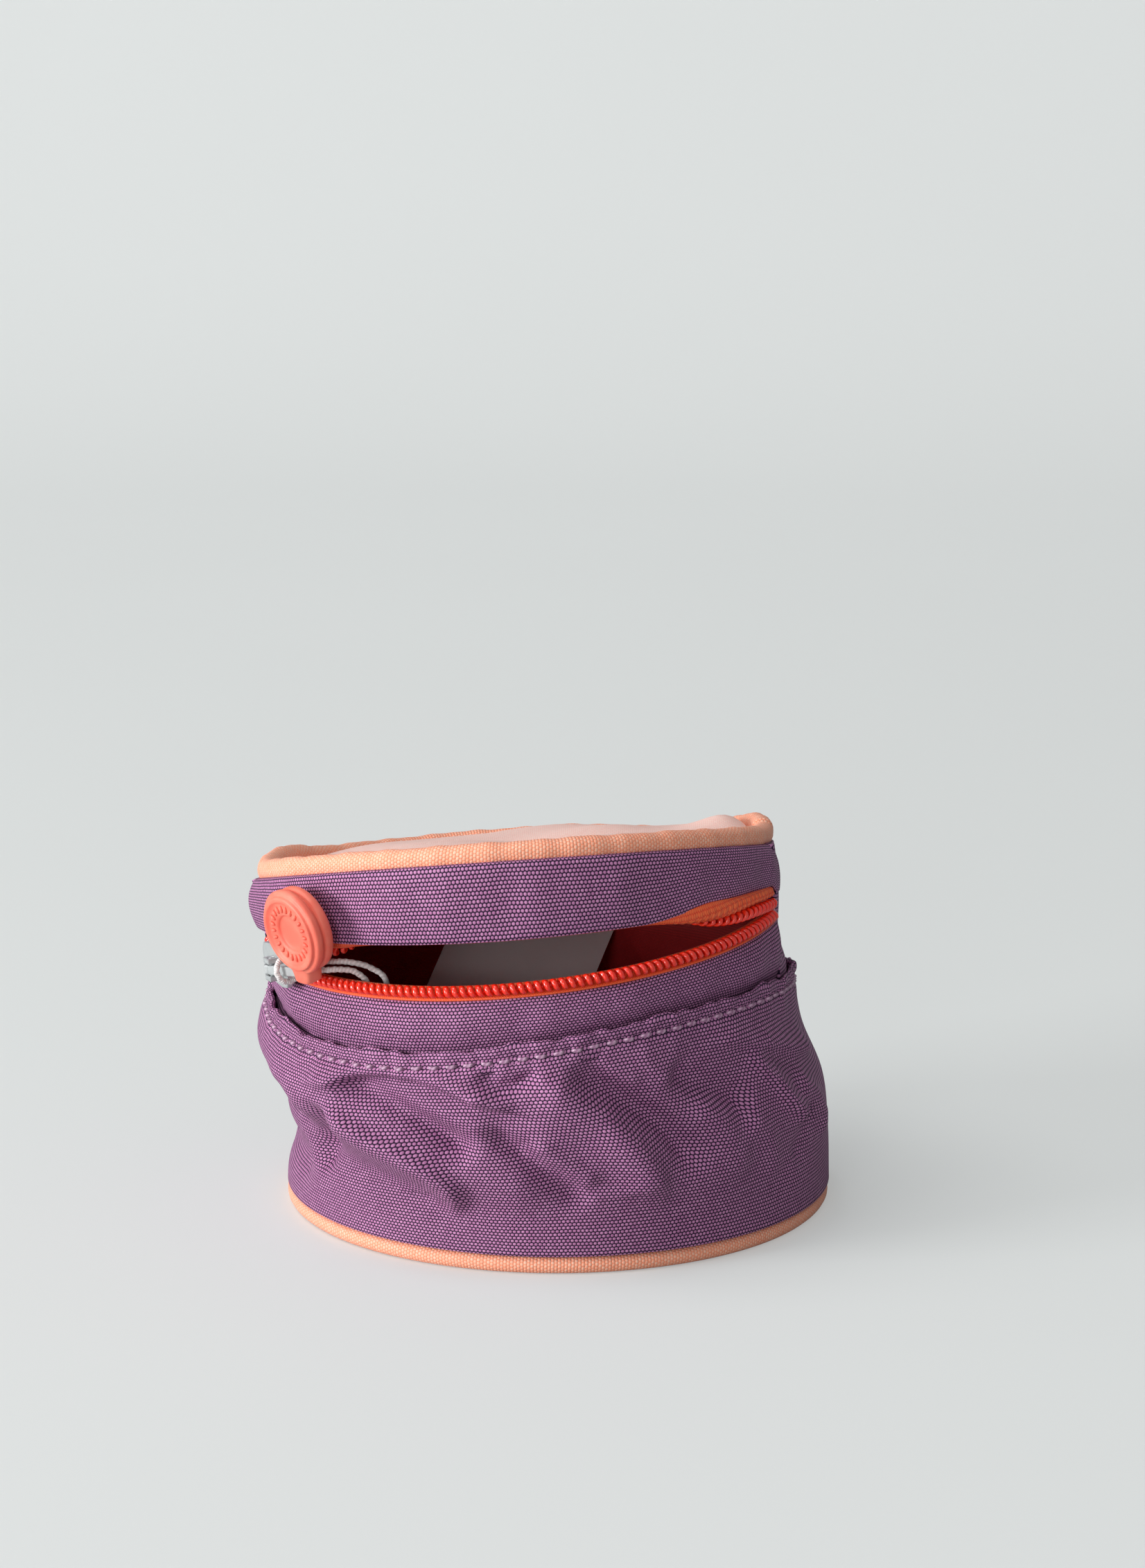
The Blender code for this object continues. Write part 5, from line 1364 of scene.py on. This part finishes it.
def roundedLine(line):
    # corner cutting: a fifth comes off each end of every span, so corners turn soft
    line, off = np.asarray(line, float), 0.2
    near, far = line[:-1], line[1:]
    cut = np.stack([(1 - off) * near + off * far, off * near + (1 - off) * far], axis=1)
    return np.vstack([line[:1], cut.reshape(-1, 2), line[-1:]])


def gripPiece():
    # a stepped disc: the section turned about the face's middle, from the back over the rim to the recess
    look = gripLook
    section = roundedLine(look["section"])
    reach = np.maximum(section[:, 0], look["least"])[:, None, None] * look["radius"]
    points = reach * outward(turns(look["steps"])) + stack(0, 0, section[:, 1:] * look["thickness"])
    return sweptPiece("gripDisc", inFrame(gripFrame, points), False, look["long"], look["girth"])


def gripNeck():
    # from under the disc to the link: a squarish section that tapers along its length
    look = neckLook
    part = turns(look["around"])
    foot, root = -pull["neck"] - look["below"], -look["root"] * gripLook["radius"]
    along = foot + np.array(look["shares"]) * (root - foot)
    square = squared(part, look["square"])
    x = (np.array(look["widths"]) * look["wide"])[:, None] * square * np.cos(part)
    z = (np.array(look["depths"]) * look["deep"])[:, None] * square * np.sin(part)
    points = inFrame(gripFrame, stack(x, along[:, None], z))
    return sweptPiece("gripNeck", points, False, look["long"], look["girth"])


def gripBars():
    # a ring of small plain bars on the face, each a low rounded bump
    look = barLook
    ring, size = turns(look["around"])[None, :], np.array(look["sizes"])[:, None]
    turn = turns(look["count"])[:, None, None]
    x = look["ring"] * gripLook["radius"] + look["long"] * np.cos(ring) * size
    y = look["wide"] * np.sin(ring) * size
    z = look["face"] * gripLook["thickness"] - look["sunk"] + look["tall"] * np.array(look["levels"])[:, None]
    points = stack(x * np.cos(turn) - y * np.sin(turn), x * np.sin(turn) + y * np.cos(turn), z)
    return sweptPiece("gripBars", inFrame(gripFrame, points), False, look["run"], look["girth"])


dress(joinInto(gripPiece(), [gripNeck(), gripBars()]), coralRubber, "pull", ["pull_grip"])


# floor, backdrop and light

print("stage and light")
stageLook = {"front": [-2.5, -1.2, -0.6, 0.0, 0.5], "bend": 0.9, "radius": 0.8, "back": 1.7, "top": 3.0,
             "half": 3, "steps": 16, "columns": 9}


def stagePiece():
    # flat floor that curves up behind into an upright backdrop
    look = stageLook
    quarter = np.linspace(0, math.pi / 2, look["steps"])
    y = np.concatenate([look["front"], look["bend"] + look["radius"] * np.sin(quarter), [look["back"]]])
    rise = look["radius"] - look["radius"] * np.cos(quarter)
    z = np.concatenate([np.zeros(len(look["front"])), rise, [look["top"]]])
    x = np.linspace(-look["half"], look["half"], look["columns"])
    faces = gridFaces(len(y), len(x), False, False).tolist()
    return makeMesh("floor", stack(x, y[:, None], z[:, None]), faces)


floorLook = {"colour": (0.46, 0.475, 0.47, 1), "marked": (0.49, 0.505, 0.50, 1), "grain": 60.0, "marks": 3.0,
             "far": 1.3, "glowNear": 0.33, "glowFar": 0.43,
             "shader": {"Roughness": 0.7, "Specular IOR Level": 0.2,
                        "Emission Color": (0.955, 0.985, 0.975, 1)}}


def paleFloor():
    # a pale floor that the camera sees a little brighter, and more so further back
    look = floorLook
    made, tree, shader = startFinish("paleFloor", look["shader"])
    place = objectPlace(tree)
    grain = addGroup(tree, fineGrain, {"Place": place, "Grain": look["grain"], "Marks": look["marks"]})
    feed(tree, shader.inputs["Base Color"], blendColour(tree, grain["Mark"], look["colour"], look["marked"]))
    seen = tree.nodes.new("ShaderNodeLightPath").outputs["Is Camera Ray"]
    glow = fade(tree, split(tree, place)[1], 0.0, look["far"], look["glowNear"], look["glowFar"])
    feed(tree, shader.inputs["Emission Strength"], calc(tree, "MULTIPLY", seen, glow))
    return made


floor = stagePiece()
floor.data.materials.append(paleFloor())

lamps = {
    "window": {"place": (-1.32, -0.52, 0.26), "aim": (0.0, 0.0, 0.04), "size": 0.55, "power": 18.6},
    "front": {"place": (-0.45, -1.7, 0.34), "aim": (0.0, 0.0, 0.05), "size": 0.45, "power": 6.2},
    "overhead": {"place": (-0.65, -0.15, 1.5), "aim": (0.0, 0.0, 0.0), "size": 1.1, "power": 11.4}}
for name, lamp in lamps.items():
    data = bpy.data.lights.new(name, "AREA")
    data.size = lamp["size"]
    data.energy = lamp["power"]
    item = bpy.data.objects.new(name, data)
    item.location = lamp["place"]
    way = unit(np.array(lamp["aim"]) - np.array(lamp["place"]))
    item.rotation_euler = (math.acos(-way[2]), 0.0, math.atan2(way[1], way[0]) - math.pi / 2)
    bpy.context.scene.collection.objects.link(item)

skyLook = {"Color": (0.97, 0.985, 1.0, 1), "Strength": 0.30}
world = bpy.data.worlds.new("paleWorld")
bpy.context.scene.world = world
world.use_nodes = True
for label, value in skyLook.items():
    world.node_tree.nodes["Background"].inputs[label].default_value = value
